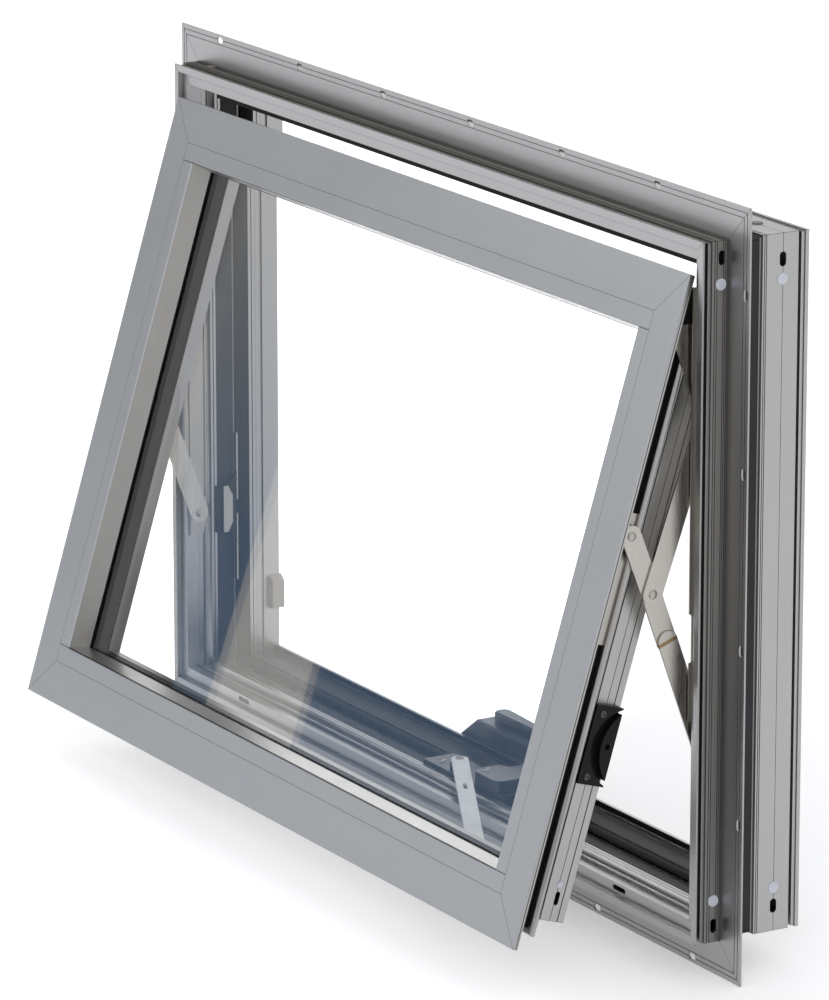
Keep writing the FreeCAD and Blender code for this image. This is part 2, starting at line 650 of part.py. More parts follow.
for place, width in SASH_LINES:
    sash_inner_cuts.append((SASH_INNER_INSET - 1, SASH_INNER_START + place,
                            SASH_INNER_INSET + SASH_LINE_DEPTH, SASH_INNER_START + place + width))
sash_inner_face = section(sash_inner_outline, sash_inner_cuts)
SASH_NAMES = {"top": "top_rail", "bottom": "bottom_rail", "left": "left_stile", "right": "right_stile"}
for side in SIDES:
    outer = mitred_bar(sash_outer_face, side, SASH_WIDTH, SASH_HEIGHT)
    inner = mitred_bar(sash_inner_face, side, SASH_WIDTH, SASH_HEIGHT)
    if side in ("left", "right"):
        wall_x = SASH_WIDTH / 2 - SASH_INNER_INSET
        if side == "left":
            wall_x = -wall_x
        inner = inner.cut(end_slots(SASH_SLOT_LENGTH, SASH_SLOT_WIDTH, WALL,
                                    wall_x, SASH_SLOT_DEPTH, SASH_HEIGHT / 2, SASH_SLOT_END))
    save("sash_" + SASH_NAMES[side] + "_outer", open_sash(outer))
    save("sash_" + SASH_NAMES[side] + "_inner", open_sash(inner))
strips = break_strips(SASH_WIDTH, SASH_HEIGHT,
                      (SASH_INNER_INSET + BREAK_THICKNESS, SASH_FACE_WIDTH - BREAK_THICKNESS),
                      SASH_OUTER_DEPTH, SASH_INNER_START)
save("sash_thermal_breaks", open_sash(strips))

# Glazing: the level beads run through, and the upright ones fit the slope of their reveals
bead_outline = [
    (SASH_FACE_WIDTH, 0),
    (OPENING_INSET - BEAD_EDGE, 0),
    (OPENING_INSET, BEAD_EDGE),
    (SIGHT_INSET, BEAD_DEPTH),
    (SASH_FACE_WIDTH, BEAD_DEPTH),
]
bead_face = section(bead_outline, [(SASH_FACE_WIDTH + WALL, WALL, OPENING_INSET - WALL, BEAD_DEPTH - WALL)])
solid_bead = section(bead_outline)
long_half = SASH_WIDTH / 2 - SASH_FACE_WIDTH
for side in ("top", "bottom"):
    save("glazing_bead_" + side, open_sash(bar(bead_face, side, SASH_WIDTH, SASH_HEIGHT, long_half)))
for side in ("left", "right"):
    upright = bar(bead_face, side, SASH_WIDTH, SASH_HEIGHT, SASH_HEIGHT / 2 - OPENING_INSET + BEAD_EDGE)
    for end in ("top", "bottom"):
        upright = upright.cut(bar(solid_bead, end, SASH_WIDTH, SASH_HEIGHT, long_half))
    save("glazing_bead_" + side, open_sash(upright))
pane_w = SASH_WIDTH / 2 - GLASS_INSET
pane_h = SASH_HEIGHT / 2 - GLASS_INSET
for name, y0 in (("glass_outer_pane", GLASS_FRONT), ("glass_inner_pane", GLASS_BACK - GLASS_THICKNESS)):
    save(name, open_sash(block(-pane_w, pane_w, y0, y0 + GLASS_THICKNESS, -pane_h, pane_h)))
spacer_edge = SIGHT_INSET + SPACER_SIGHT
cavity_y = GLASS_FRONT + GLASS_THICKNESS
spacer = ring([
    (spacer_edge - SPACER_WIDTH, cavity_y),
    (spacer_edge, cavity_y),
    (spacer_edge, cavity_y + GLASS_CAVITY),
    (spacer_edge - SPACER_WIDTH, cavity_y + GLASS_CAVITY),
], SASH_WIDTH, SASH_HEIGHT)
save("glass_spacer", open_sash(spacer))
for name, y0 in (("glazing_seal_outer", BEAD_DEPTH), ("glazing_seal_inner", GLASS_BACK)):
    seal = ring([
        (SIGHT_INSET - GLAZING_SEAL_WIDTH, y0),
        (SIGHT_INSET, y0),
        (SIGHT_INSET, y0 + GLAZING_SEAL),
        (SIGHT_INSET - GLAZING_SEAL_WIDTH, y0 + GLAZING_SEAL),
    ], SASH_WIDTH, SASH_HEIGHT)
    save(name, open_sash(seal))


# Stays
def arm(start, end, width, x0, x1):
    """Flat arm with round ends through two (y, z) points, between two X planes."""
    (ya, za), (yb, zb) = start, end
    length = math.hypot(yb - ya, zb - za)
    angle = math.degrees(math.atan2(zb - za, yb - ya))
    body = Part.makeBox(x1 - x0, length, width, V(x0, 0, -width / 2))
    for y in (0, length):
        body = body.fuse(Part.makeCylinder(width / 2, x1 - x0, V(x0, y, 0), V(1, 0, 0)))
    body.rotate(V(0, 0, 0), V(1, 0, 0), angle)
    body.translate(V(0, ya, za))
    return body.removeSplitter()


def pin(place, radius, x0, x1):
    return Part.makeCylinder(radius, x1 - x0, V(x0, place[0], place[1]), V(1, 0, 0))


elbow = (-STAY_SETOUT - ELBOW_OUT, MID_Z + ELBOW_ABOVE_MID)
shoe = (-STAY_SETOUT, MID_Z - SHOE_BELOW_MID)
pivot = (-STAY_SETOUT, MID_Z + PIVOT_ABOVE_MID)
sash_pin = sash_point(SASH_PIN_DOWN, (GROOVE_START + GROOVE_END) / 2)
jamb_x = HALF_W - OVERLAP_INSET
base_x = jamb_x - TRACK_BASE
track_x = jamb_x - TRACK_DEPTH
short_x = track_x - ARM_THICKNESS
long_x = short_x - ARM_THICKNESS
bar_x = SASH_WIDTH / 2 - SASH_SIDE
track_y0 = -STAY_SETOUT - TRACK_WIDTH / 2
track_y1 = -STAY_SETOUT + TRACK_WIDTH / 2
track_z0 = shoe[1] - TRACK_END
track_z1 = MID_Z + HALF_H - TRACK_HEAD_GAP
track = block(base_x, jamb_x, track_y0, track_y1, track_z0, track_z1)
for y in (track_y0, track_y1 - TRACK_LIP):
    track = track.fuse(block(track_x, base_x, y, y + TRACK_LIP, track_z0, track_z1))
track = track.fuse(pin(pivot, PIVOT_RADIUS, track_x, base_x))
wing_y = track_y0 - TRACK_WING
wing = block(base_x, jamb_x, wing_y, track_y0, MID_Z - WING_BELOW_MID, track_z1)
notch_z = MID_Z - NOTCH_BELOW_MID
notch = block(base_x, jamb_x, wing_y, wing_y + NOTCH_DEPTH, notch_z - NOTCH_LENGTH / 2, notch_z + NOTCH_LENGTH / 2)
for end in (-1, 1):
    notch = notch.fuse(Part.makeCylinder(NOTCH_DEPTH, jamb_x - base_x,
                                         V(base_x, wing_y, notch_z + end * NOTCH_LENGTH / 2), V(1, 0, 0)))
track = track.fuse(wing.cut(notch))
both_hands("stay_SIDE_track", track.removeSplitter())
half_shoe = TRACK_WIDTH / 2 - TRACK_LIP - SHOE_CLEARANCE
slider = block(track_x, base_x, -STAY_SETOUT - half_shoe, -STAY_SETOUT + half_shoe,
               shoe[1] - SHOE_LENGTH / 2, shoe[1] + SHOE_LENGTH / 2)
both_hands("stay_SIDE_shoe", slider)
both_hands("stay_SIDE_short_arm", arm(pivot, elbow, ARM_WIDTH, short_x, track_x))
# below the elbow the long arm steps across at a crease to the level of the short arm
share = CRANK_AT / math.hypot(elbow[0] - shoe[0], elbow[1] - shoe[1])
crease = (elbow[0] + (shoe[0] - elbow[0]) * share, elbow[1] + (shoe[1] - elbow[1]) * share)
long_arm = arm(shoe, crease, ARM_WIDTH, short_x, track_x)
long_arm = long_arm.fuse(arm(crease, elbow, ARM_WIDTH, long_x, short_x))
long_arm = long_arm.fuse(arm(elbow, sash_pin, ARM_WIDTH, long_x, short_x))
long_arm = long_arm.fuse(pin(sash_pin, PIN_RADIUS, bar_x, long_x))
both_hands("stay_SIDE_long_arm", long_arm.removeSplitter())
sash_bar = block(bar_x - GROOVE_DEPTH, bar_x, GROOVE_START, GROOVE_END,
                 SASH_HEIGHT / 2 - BAR_TOP - BAR_LENGTH, SASH_HEIGHT / 2 - BAR_TOP)
both_hands("stay_SIDE_sash_bar", open_sash(sash_bar))

# Head of the sash: a black guide that runs in the track, on a bracket pinned into the hardware groove
guide_z1 = track_z1 - HEAD_GUIDE_GAP
guide_z0 = guide_z1 - HEAD_GUIDE_HEIGHT
bracket_z1 = guide_z0 - HEAD_GUIDE_STEP
guide_y0 = -STAY_SETOUT - HEAD_GUIDE_FRONT
bracket_y0 = -STAY_SETOUT - BRACKET_FRONT
bracket_y1 = -STAY_SETOUT - BRACKET_BACK
guide = block(long_x, track_x, guide_y0, bracket_y1, guide_z0, guide_z1)
guide = guide.fuse(block(long_x, short_x, guide_y0, bracket_y1, bracket_z1, guide_z0))
guide = guide.fuse(block(track_x, base_x, -STAY_SETOUT - half_shoe, -STAY_SETOUT + half_shoe, guide_z0, guide_z1))
both_hands("head_guide_SIDE", guide.removeSplitter())
slant = (elbow[1] - shoe[1]) / (shoe[0] - elbow[0])
bracket_front_z = bracket_z1 - BRACKET_HEIGHT
bracket_outline = [
    V(long_x, bracket_y0, bracket_z1),
    V(long_x, bracket_y1, bracket_z1),
    V(long_x, bracket_y1, bracket_front_z - slant * (bracket_y1 - bracket_y0)),
    V(long_x, bracket_y0, bracket_front_z),
]
bracket = Part.Face(Part.makePolygon(bracket_outline + bracket_outline[:1])).extrude(V(ARM_THICKNESS, 0, 0))
bracket_pin = sash_point(BRACKET_PIN_DOWN, (GROOVE_START + GROOVE_END) / 2)
bracket = bracket.fuse(pin(bracket_pin, PIN_RADIUS, SASH_WIDTH / 2 - GROOVE_FLOOR, long_x))
both_hands("head_bracket_SIDE", bracket.removeSplitter())

# Locks: a keeper with a curved ramp on each stile, and a lock with a cam and a lever on each jamb
keeper_x0 = SASH_WIDTH / 2 - SASH_INNER_INSET
keeper_x1 = keeper_x0 + KEEPER_PROUD
keeper_z1 = SASH_HEIGHT / 2 - KEEPER_DOWN
keeper_z0 = keeper_z1 - KEEPER_HEIGHT
keeper_back = KEEPER_DEPTH + KEEPER_WIDTH
keeper = block(keeper_x0, keeper_x1, KEEPER_DEPTH, keeper_back, keeper_z0, keeper_z1)
keeper_mid = (keeper_z0 + keeper_z1) / 2
ramp_place = V(keeper_x0 + KEEPER_FLOOR, keeper_back + RAMP_RADIUS - RAMP_REACH, keeper_mid)
island_place = V(keeper_x0 + KEEPER_FLOOR, keeper_back + ISLAND_RADIUS - ISLAND_REACH, keeper_mid)
ramp = Part.makeCylinder(RAMP_RADIUS, KEEPER_PROUD, ramp_place, V(1, 0, 0))
ramp = ramp.cut(Part.makeCylinder(ISLAND_RADIUS, KEEPER_PROUD, island_place, V(1, 0, 0)))
keeper = keeper.cut(ramp)
keeper_hole = V(keeper_x1 - KEEPER_HOLE_DEPTH, keeper_back - ISLAND_REACH / 2, keeper_mid)
keeper = keeper.cut(Part.makeCylinder(KEEPER_HOLE_RADIUS, KEEPER_PROUD, keeper_hole, V(1, 0, 0)))
both_hands("lock_keeper_SIDE", open_sash(keeper))

lock_x = HALF_W - RIDGE_INSET - LOCK_CLEARANCE
lock_y1 = INNER_START
cam_z = MID_Z - LOCK_BELOW_MID
front_half = LOCK_FRONT_HEIGHT / 2
reach = lock_y1 - LOCK_FRONT_Y
bulge = math.sqrt(0.5)


def flared_outline(sign):
    """End and middle of the concave arc from the front edge of the lock body to its back edge."""
    end = V(lock_x, lock_y1, cam_z + sign * (front_half + LOCK_FLARE))
    middle = V(lock_x, LOCK_FRONT_Y + reach * bulge, cam_z + sign * (front_half + LOCK_FLARE * (1 - bulge)))
    return end, middle


edges = []
top_front = V(lock_x, LOCK_FRONT_Y, cam_z + front_half)
low_front = V(lock_x, LOCK_FRONT_Y, cam_z - front_half)
top_back, top_middle = flared_outline(1)
low_back, low_middle = flared_outline(-1)
edges.append(Part.makeLine(low_front, top_front))
edges.append(Part.Arc(top_front, top_middle, top_back).toShape())
edges.append(Part.makeLine(top_back, low_back))
edges.append(Part.Arc(low_back, low_middle, low_front).toShape())
lock_body = Part.Face(Part.Wire(edges)).extrude(V(-LOCK_THICKNESS, 0, 0))
foot_x = HALF_W - SEAL_SEAT_INSET
foot = block(lock_x, foot_x, OUTER_END + END_CLEARANCE, INNER_START, cam_z - front_half, cam_z + front_half)
both_hands("lock_body_SIDE", lock_body.fuse(foot).removeSplitter())

cam_x = lock_x - LOCK_THICKNESS
cam_y0 = (LOCK_FRONT_Y + lock_y1 - CAM_WIDTH) / 2
cam_y1 = cam_y0 + CAM_WIDTH
cam_outline = [
    V(cam_x, cam_y0, cam_z - front_half),
    V(cam_x, cam_y0, cam_z + front_half),
    V(cam_x, cam_y1 - CAM_CORNER, cam_z + front_half),
    V(cam_x, cam_y1, cam_z + front_half - 2 * CAM_CORNER),
    V(cam_x, cam_y1, cam_z - front_half + 2 * CAM_CORNER),
    V(cam_x, cam_y1 - CAM_CORNER, cam_z - front_half),
]
cam = Part.Face(Part.makePolygon(cam_outline + cam_outline[:1])).extrude(V(-CAM_THICKNESS, 0, 0))
lock_pieces = [cam]
for sign in (-1, 1):
    near = sign * GUIDE_GAP / 2
    far = sign * (GUIDE_GAP / 2 + GUIDE_LENGTH)
    lock_pieces.append(block(foot_x - GUIDE_HEIGHT, foot_x, INNER_START + STRIP_GAP / 2,
                             INNER_START + STRIP_GAP / 2 + GUIDE_THICKNESS,
                             cam_z + min(near, far), cam_z + max(near, far)))
both_hands("lock_bar_SIDE", Part.makeCompound(lock_pieces))

lever_x = HALF_W - ROOM_INSET
lever_y1 = BACK_Y + LEVER_PAST_BACK
lever_z1 = MID_Z - LEVER_BELOW_MID
lever_outline = [
    V(lever_x, lever_y1 - LEVER_WIDTH, lever_z1),
    V(lever_x, lever_y1 - LEVER_WIDTH, lever_z1 - LEVER_LENGTH),
    V(lever_x - LEVER_THICKNESS, lever_y1 - LEVER_WIDTH, lever_z1 - LEVER_LENGTH + LEVER_FOOT),
    V(lever_x - LEVER_THICKNESS, lever_y1 - LEVER_WIDTH, lever_z1 - LEVER_BEVEL),
]
lever = Part.Face(Part.makePolygon(lever_outline + lever_outline[:1])).extrude(V(0, LEVER_WIDTH, 0))
both_hands("lock_lever_SIDE", lever)

# Operator: base and gear case on the sill, pull arm, slider rail on the sash
base_z = SILL_Z + SEAL_SEAT_INSET
base_top = SILL_Z + BASE_TOP_INSET
over_seal = base_z + SEAL_EDGE + SEAL_CROWN + BASE_OVER_SEAL
seat_z = SILL_Z + ROOM_INSET
over_leg = seat_z + SILL_LEG_HEIGHT + END_CLEARANCE
cover_y0 = BACK_Y + END_CLEARANCE
pull_z = SILL_Z + ARM_INSET
base_x0 = GEAR_X - BASE_LEFT
base_x1 = GEAR_X + BASE_RIGHT
case_z1 = pull_z + PULL_THICKNESS + GEAR_CASE_HEIGHT / 2
operator = block(base_x0, base_x1, OUTER_END + END_CLEARANCE, INNER_START, base_z, base_top)
operator = operator.fuse(block(base_x0, base_x1, INNER_START, INNER_START + BASE_BACK, over_seal, base_top))
operator = operator.fuse(Part.makeCylinder(BOSS_RADIUS, pull_z - base_top, V(GEAR_X, GEAR_Y, base_top)))
case = block(GEAR_X + GEAR_CASE_LEFT, GEAR_X + GEAR_CASE_RIGHT, GEAR_Y - GEAR_CASE_FRONT,
             INNER_START + BASE_BACK, base_top, base_top + GEAR_CASE_HEIGHT)
case = case.makeFillet(GEAR_CASE_ROUND, [e for e in case.Edges if abs(e.Length - GEAR_CASE_HEIGHT) < WALL / 10])
operator = operator.fuse(case)
neck = block(GEAR_X + NECK_LEFT, GEAR_X + NECK_RIGHT, INNER_START + BASE_BACK, cover_y0,
             over_leg, over_leg + NECK_HEIGHT)
operator = operator.fuse(neck)
save("operator_housing", operator.removeSplitter())

rail_down = SASH_HEIGHT - (pull_z - sash_point(SASH_HEIGHT, SASH_BACK)[1]) / math.cos(math.radians(OPEN_ANGLE))
rail_z = SASH_HEIGHT / 2 - rail_down
slide_x = HALF_W - SLIDER_FROM_SIDE
slide_y = sash_plane_y(SASH_BACK + RAIL_DEPTH, pull_z + PULL_THICKNESS) + BUTTON_RADIUS
rail = block(slide_x - RAIL_LENGTH / 2, slide_x + RAIL_LENGTH / 2,
             SASH_BACK, SASH_BACK + RAIL_DEPTH, rail_z - RAIL_HEIGHT / 2, rail_z + RAIL_HEIGHT / 2)
save("operator_sash_rail", open_sash(rail))
pull_run = math.hypot(slide_x - GEAR_X, slide_y - GEAR_Y)
pull_turn = math.degrees(math.atan2(slide_y - GEAR_Y, slide_x - GEAR_X))
pull = block(0, pull_run - BUTTON_RADIUS, -PULL_WIDTH / 2, PULL_WIDTH / 2, 0, PULL_THICKNESS)
pull = pull.fuse(Part.makeCylinder(PULL_WIDTH / 2, PULL_THICKNESS))
pull = pull.fuse(Part.makeCylinder(BUTTON_RADIUS, BUTTON_HEIGHT, V(pull_run, 0, PULL_THICKNESS - BUTTON_HEIGHT)))
pull = pull.fuse(block(pull_run - 2 * BUTTON_RADIUS, pull_run, -BUTTON_RADIUS / 2, BUTTON_RADIUS / 2,
                       0, PULL_THICKNESS))
pull = pull.cut(block(PULL_SLOT_AT, PULL_SLOT_AT + PULL_SLOT_LENGTH, -PULL_SLOT_WIDTH / 2, PULL_SLOT_WIDTH / 2,
                      -1, PULL_THICKNESS + 1))
pull.rotate(V(0, 0, 0), V(0, 0, 1), pull_turn)
pull.translate(V(GEAR_X, GEAR_Y, pull_z))
save("operator_arm", pull.removeSplitter())

# Room side: a cover with a sloping end behind the frame, and the handle folded on top of it
cover_x0 = GEAR_X - COVER_LEFT
cover_x1 = GEAR_X + COVER_RIGHT
cover_y1 = BACK_Y + COVER_BACK
cover_low = seat_z - COVER_DROP
cover_top = SILL_Z + COVER_TOP_INSET
cover_outline = [
    V(cover_x0, cover_y0, cover_low),
    V(cover_x0, cover_y0, cover_top - COVER_SLOPE_DROP),
    V(cover_x0 + COVER_SLOPE, cover_y0, cover_top),
    V(cover_x1, cover_y0, cover_top),
    V(cover_x1, cover_y0, cover_low),
]
cover = Part.Face(Part.makePolygon(cover_outline + cover_outline[:1])).extrude(V(0, cover_y1 - cover_y0, 0))
long_edges = []
for edge in cover.Edges:
    middle = edge.CenterOfMass
    if middle.z > cover_top - COVER_SLOPE_DROP and abs(middle.y - (cover_y0 + cover_y1) / 2) > COVER_ROUND:
        if middle.x < cover_x1 - COVER_ROUND:
            long_edges.append(edge)
save("operator_cover", cover.makeFillet(COVER_ROUND, long_edges))

hub_x = GEAR_X + HANDLE_HUB_X
tip_x = hub_x - HANDLE_LENGTH
handle_y0 = cover_y0 + HANDLE_SETBACK
neck_y1 = handle_y0 + HANDLE_NECK
tip_y1 = handle_y0 + HANDLE_TIP
tip_middle = (handle_y0 + tip_y1) / 2
tip_r = HANDLE_TIP / 2
handle_z0 = cover_top + HANDLE_LIFT
blade_edges = [
    Part.makeLine(V(hub_x, handle_y0, handle_z0), V(tip_x + tip_r, handle_y0, handle_z0)),
    Part.Arc(V(tip_x + tip_r, handle_y0, handle_z0), V(tip_x, tip_middle, handle_z0),
             V(tip_x + tip_r, tip_y1, handle_z0)).toShape(),
    Part.makeLine(V(tip_x + tip_r, tip_y1, handle_z0), V(hub_x, neck_y1, handle_z0)),
    Part.makeLine(V(hub_x, neck_y1, handle_z0), V(hub_x, handle_y0, handle_z0)),
]
handle = Part.Face(Part.Wire(blade_edges)).extrude(V(0, 0, HANDLE_THICKNESS))
top_edges = [e for e in handle.Edges if e.CenterOfMass.z > handle_z0 + HANDLE_THICKNESS - WALL / 10]
handle = handle.makeFillet(HANDLE_ROUND, top_edges)
hub = Part.makeCylinder(tip_r, HANDLE_LIFT + HANDLE_THICKNESS, V(hub_x, (handle_y0 + neck_y1) / 2, cover_top))
foot = block(tip_x + HANDLE_FOOT, hub_x, handle_y0 + HANDLE_ROUND, neck_y1 - HANDLE_ROUND, cover_top, handle_z0)
save("operator_crank", handle.fuse(hub).fuse(foot).removeSplitter())
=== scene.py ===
"""Looks of the open awning window: satin aluminium, insulating glass, seals, stays, locks and crank operator.

Metres, in the frame of the window: X along the sill, +Y into the building, Z up. Sash places are
(x, depth behind the face of the sash, height above the middle of the sash).
"""
import math

import bpy
from mathutils import Matrix, Vector


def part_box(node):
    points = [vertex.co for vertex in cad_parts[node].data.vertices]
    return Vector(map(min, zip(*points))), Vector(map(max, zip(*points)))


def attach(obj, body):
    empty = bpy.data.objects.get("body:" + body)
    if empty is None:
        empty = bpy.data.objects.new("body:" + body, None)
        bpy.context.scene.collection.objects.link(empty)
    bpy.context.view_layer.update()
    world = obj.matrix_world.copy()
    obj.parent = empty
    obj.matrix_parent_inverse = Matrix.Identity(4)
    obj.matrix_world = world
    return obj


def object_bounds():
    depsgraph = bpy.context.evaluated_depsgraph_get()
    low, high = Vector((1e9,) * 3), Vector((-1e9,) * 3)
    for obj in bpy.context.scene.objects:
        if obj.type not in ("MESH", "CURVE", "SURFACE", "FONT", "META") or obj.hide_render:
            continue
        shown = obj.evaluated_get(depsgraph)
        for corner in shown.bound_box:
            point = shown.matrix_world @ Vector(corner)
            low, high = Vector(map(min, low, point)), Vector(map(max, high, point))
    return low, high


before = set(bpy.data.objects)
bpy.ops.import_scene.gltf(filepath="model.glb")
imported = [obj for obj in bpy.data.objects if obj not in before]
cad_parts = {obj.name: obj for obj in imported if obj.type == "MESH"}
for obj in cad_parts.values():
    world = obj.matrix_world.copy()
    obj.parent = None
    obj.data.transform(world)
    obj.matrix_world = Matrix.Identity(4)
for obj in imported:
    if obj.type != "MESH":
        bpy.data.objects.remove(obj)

CAD_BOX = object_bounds()

bl_info = {
    "name": "Awning Window Finishes",
    "version": (1, 0, 0),
    "blender": (4, 5, 0),
    "location": "View3D > Sidebar > Window",
    "description": "Finishes, small parts and studio for an open awning window",
    "category": "Object",
}

# Frame
FRAME_LOW = Vector((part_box("frame_left_jamb_inner")[0].x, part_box("frame_sill_outer")[0].y,
                    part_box("frame_sill_inner")[0].z))
FRAME_HIGH = Vector((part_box("frame_right_jamb_inner")[1].x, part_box("frame_sill_inner")[1].y,
                     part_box("frame_head_inner")[1].z))
FRAME_MIDDLE = Vector((0, 0, (FRAME_LOW.z + FRAME_HIGH.z) / 2))
HALF_WIDTH = FRAME_HIGH.x
HALF_HEIGHT = FRAME_HIGH.z - FRAME_MIDDLE.z
FLANGE_BACK = FRAME_LOW.y + 0.0021       # open groove between the face flange and the outer chamber
SHOULDER = FRAME_LOW.y + 0.0058          # back of that groove, where the ribbed side starts
THROAT_SHADE_DEPTH = 0.0052                    # painted shade in the groove, inwards from the outside
RIB_DEPTH = 0.0015                       # reach of the ribbed side's painted shade, both ways from the outside
FIN_FRONT = -0.0018                      # just in front of the nail fin
SEAT_TOP = FRAME_LOW.z + 0.024           # top of the operator's base

# Sash
OPEN_ANGLE = math.radians(16.88)
SASH_EDGE_INSET = 0.0133
SASH_STANDOFF = 0.0032
HEAD_SLIDE = 0.0159
SASH_HALF_WIDTH = HALF_WIDTH - SASH_EDGE_INSET
SASH_HALF_HEIGHT = HALF_HEIGHT - SASH_EDGE_INSET
SASH_HEAD = Vector((0, FRAME_LOW.y - SASH_STANDOFF, FRAME_HIGH.z - SASH_EDGE_INSET - HEAD_SLIDE))
BEAD_SEAM = 0.038            # joint of sash rail and glazing bead, from the sash edge
BEAD_END = 0.0548            # ends of the upright beads, from the sash edge
GROOVE_START = 0.0117        # hardware groove, behind the sash face
GROOVE_END = 0.0205
GROOVE_SHADE_END = 0.0176         # painted shade and the black of a gasket in the groove, from the sash edge
FACE_DEPTH = 0.0008          # what counts as the face of the sash

# Stays, right-hand side (y, z)
PIVOT = (-0.0096, FRAME_MIDDLE.z + 0.145)
SHOE = (-0.0096, FRAME_MIDDLE.z - 0.133)
ELBOW = (-0.0596, FRAME_MIDDLE.z + 0.004)
SHORT_ARM_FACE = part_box("stay_right_short_arm")[1].x
ARM_THICKNESS = 0.0018
CREASE_AT = 0.046            # below the elbow
CREASE_WIDTH = 0.0034
SASH_PIN_DOWN = 0.224        # below the sash head

# Operator (x, y)
GEAR = (-0.004, 0.0234)
GEAR_CASE_SCREW = (0.0405, 0.0245)
BASE_SCREWS = (-0.0353, 0.0735)
ARM_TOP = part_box("operator_arm")[1].z
CASE_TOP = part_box("operator_housing")[1].z

# Keeper screws and plugs
KEEPER_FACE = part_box("lock_keeper_right")[1].x
KEEPER_SCREW_DEPTH = 0.0383
KEEPER_SCREWS_DOWN = (0.376, 0.4306)
JAMB_PLUGS = ((-0.0088, 0.037), (0.0522, 0.039))      # y, distance from the ends of the jamb
HEAD_PLUGS = ((0.4148, 0.0543), (-0.424, -0.0056))    # x, y
# Painted shade: the plugs on the head top take the dark brown of the head top's painted shade.
HEAD_PLUG_SHADE_TONE = (0.16, 0.14, 0.12)
STILE_PLUG = (0.024, 0.0465, 0.056)                   # from the sash edge, behind its face, above its foot
OPERATOR_SCREW_SCALE = 1.2
STILE_PLUG_SCALE = 0.52

OUT = Vector((1, 0, 0))
UP = Vector((0, 0, 1))

# Studio
FIN_FACE_MIDDLE = Vector((0, -0.0016, FRAME_MIDDLE.z))
FLOOR = CAD_BOX[0].z
FLOOR_GAP = 0.0005
FLOOR_GLOW = 0.35
FLOOR_GLOW_THROUGH_GLASS = 0.9
WHITE = (1, 1, 1, 1)
SKY = (0.96, 0.97, 1.0, 1)
SKY_STRENGTH = 0.75
LAMPS = (                    # name, place, width, watts
    ("key", (-2.6, -3.2, 2.8), 2.4, 42.0),
    ("fill", (3.4, -2.2, 1.6), 2.0, 25.0),
    ("back", (-3.4, 2.4, 1.1), 1.6, 15.0),
)
GLASS_HEADING = (-0.834, -0.551)     # where the glass mirrors the camera's view to
BLACK = (0.004, 0.004, 0.004)


def sash_matrix():
    """From sash places to the open pose."""
    turn = Matrix.Rotation(-OPEN_ANGLE, 4, "X")
    return Matrix.Translation(SASH_HEAD) @ turn @ Matrix.Translation((0, 0, -SASH_HALF_HEIGHT))


SASH = sash_matrix()


def colour(name, description, default):
    return bpy.props.FloatVectorProperty(name=name, description=description, subtype="COLOR", size=3,
                                         min=0, max=1, default=default)


def length(name, description, default):
    return bpy.props.FloatProperty(name=name, description=description, default=default, min=0,
                                   unit="LENGTH", precision=4)


def share(name, description, default):
    return bpy.props.FloatProperty(name=name, description=description, default=default, min=0, max=1,
                                   subtype="FACTOR")


class AwningMetalSettings(bpy.types.PropertyGroup):
    """Aluminium of the frame and the sash."""

    aluminium: colour("Frame aluminium", "Natural aluminium of the outer frame", (0.4, 0.4, 0.405))
    inner_aluminium: colour("Inner aluminium", "Aluminium of the inner frame", (0.42, 0.418, 0.415))
    # Painted shade and painted blue reflection: the face of the sash is made darker and bluer than its sides.
    face_shade_aluminium: colour("Sash face", "Face of the sash and its beads", (0.378, 0.389, 0.406))
    # Painted shade: the ribbed sides are the same aluminium, made darker on the jambs and much darker on the
    # head top.
    jamb_side_shade: colour("Jamb sides", "Ribbed sides of the jambs, in front of the fin", (0.35, 0.347, 0.34))
    head_top_shade: colour("Head top", "Ribbed top of the head, in front of the fin", (0.13, 0.122, 0.1))
    # This colour paints the dark hairlines at the joints and also painted shade in the open grooves.
    seam: colour("Seam", "Dark hairlines where bars meet", (0.02, 0.02, 0.022))
    roughness: share("Roughness", "Roughness of the satin surface", 0.36)
    line_depth: share("Extrusion lines", "Strength of the fine lines along the bars", 0.05)
    seam_width: length("Seam width", "Width of the hairlines", 0.00034)
    edge_radius: length("Edge radius", "Softening of the edges", 0.00015)
    # Painted shade: the cavity reach sets how far grooves are darkened.
    cavity_shade_reach: length("Cavity", "Reach of the dark tone in grooves", 0.003)


class AwningFittingSettings(bpy.types.PropertyGroup):
    """Plastics, seals, glass and fittings."""

    thermal_break: colour("Thermal break", "Charcoal of the thermal breaks", (0.022, 0.022, 0.024))
    rubber: colour("Seals", "Black of the seals", (0.007, 0.007, 0.0075))
    glass: colour("Glass", "Tint of the glass", (0.985, 0.992, 0.995))
    spacer: colour("Spacer", "Spacer of the insulating glass", (0.007, 0.007, 0.0075))
    stainless: colour("Stainless", "Stainless steel of the stays", (0.5, 0.48, 0.445))
    brass: colour("Crease", "Worn band at the crease of the long arm", (0.26, 0.18, 0.09))
    black: colour("Black fittings", "Paint of keepers, lock bodies and guides", (0.007, 0.007, 0.0075))
    pull_arm: colour("Operator arm", "Paint of the operator's arm", (0.9, 0.91, 0.92))
    slate: colour("Operator", "Paint of the operator's cover and handle", (0.035, 0.04, 0.05))
    lever: colour("Lever", "Paint of the lock levers", (0.52, 0.49, 0.44))
    plug: colour("Plugs", "Plastic plugs of the bars", (0.56, 0.58, 0.64))


class AwningFastenerSettings(bpy.types.PropertyGroup):
    """Rivets, screws and plugs."""

    rivet_radius: length("Rivet radius", "Rivets of the stays", 0.0042)
    rivet_height: length("Rivet height", "Dome of the rivets", 0.0012)
    screw_radius: length("Screw radius", "Heads of the screws", 0.0034)
    screw_height: length("Screw height", "Heads of the screws", 0.0016)
    plug_radius: length("Plug radius", "Plugs in the jambs", 0.00525)
    plug_height: length("Plug height", "How far the plugs stand proud", 0.0006)


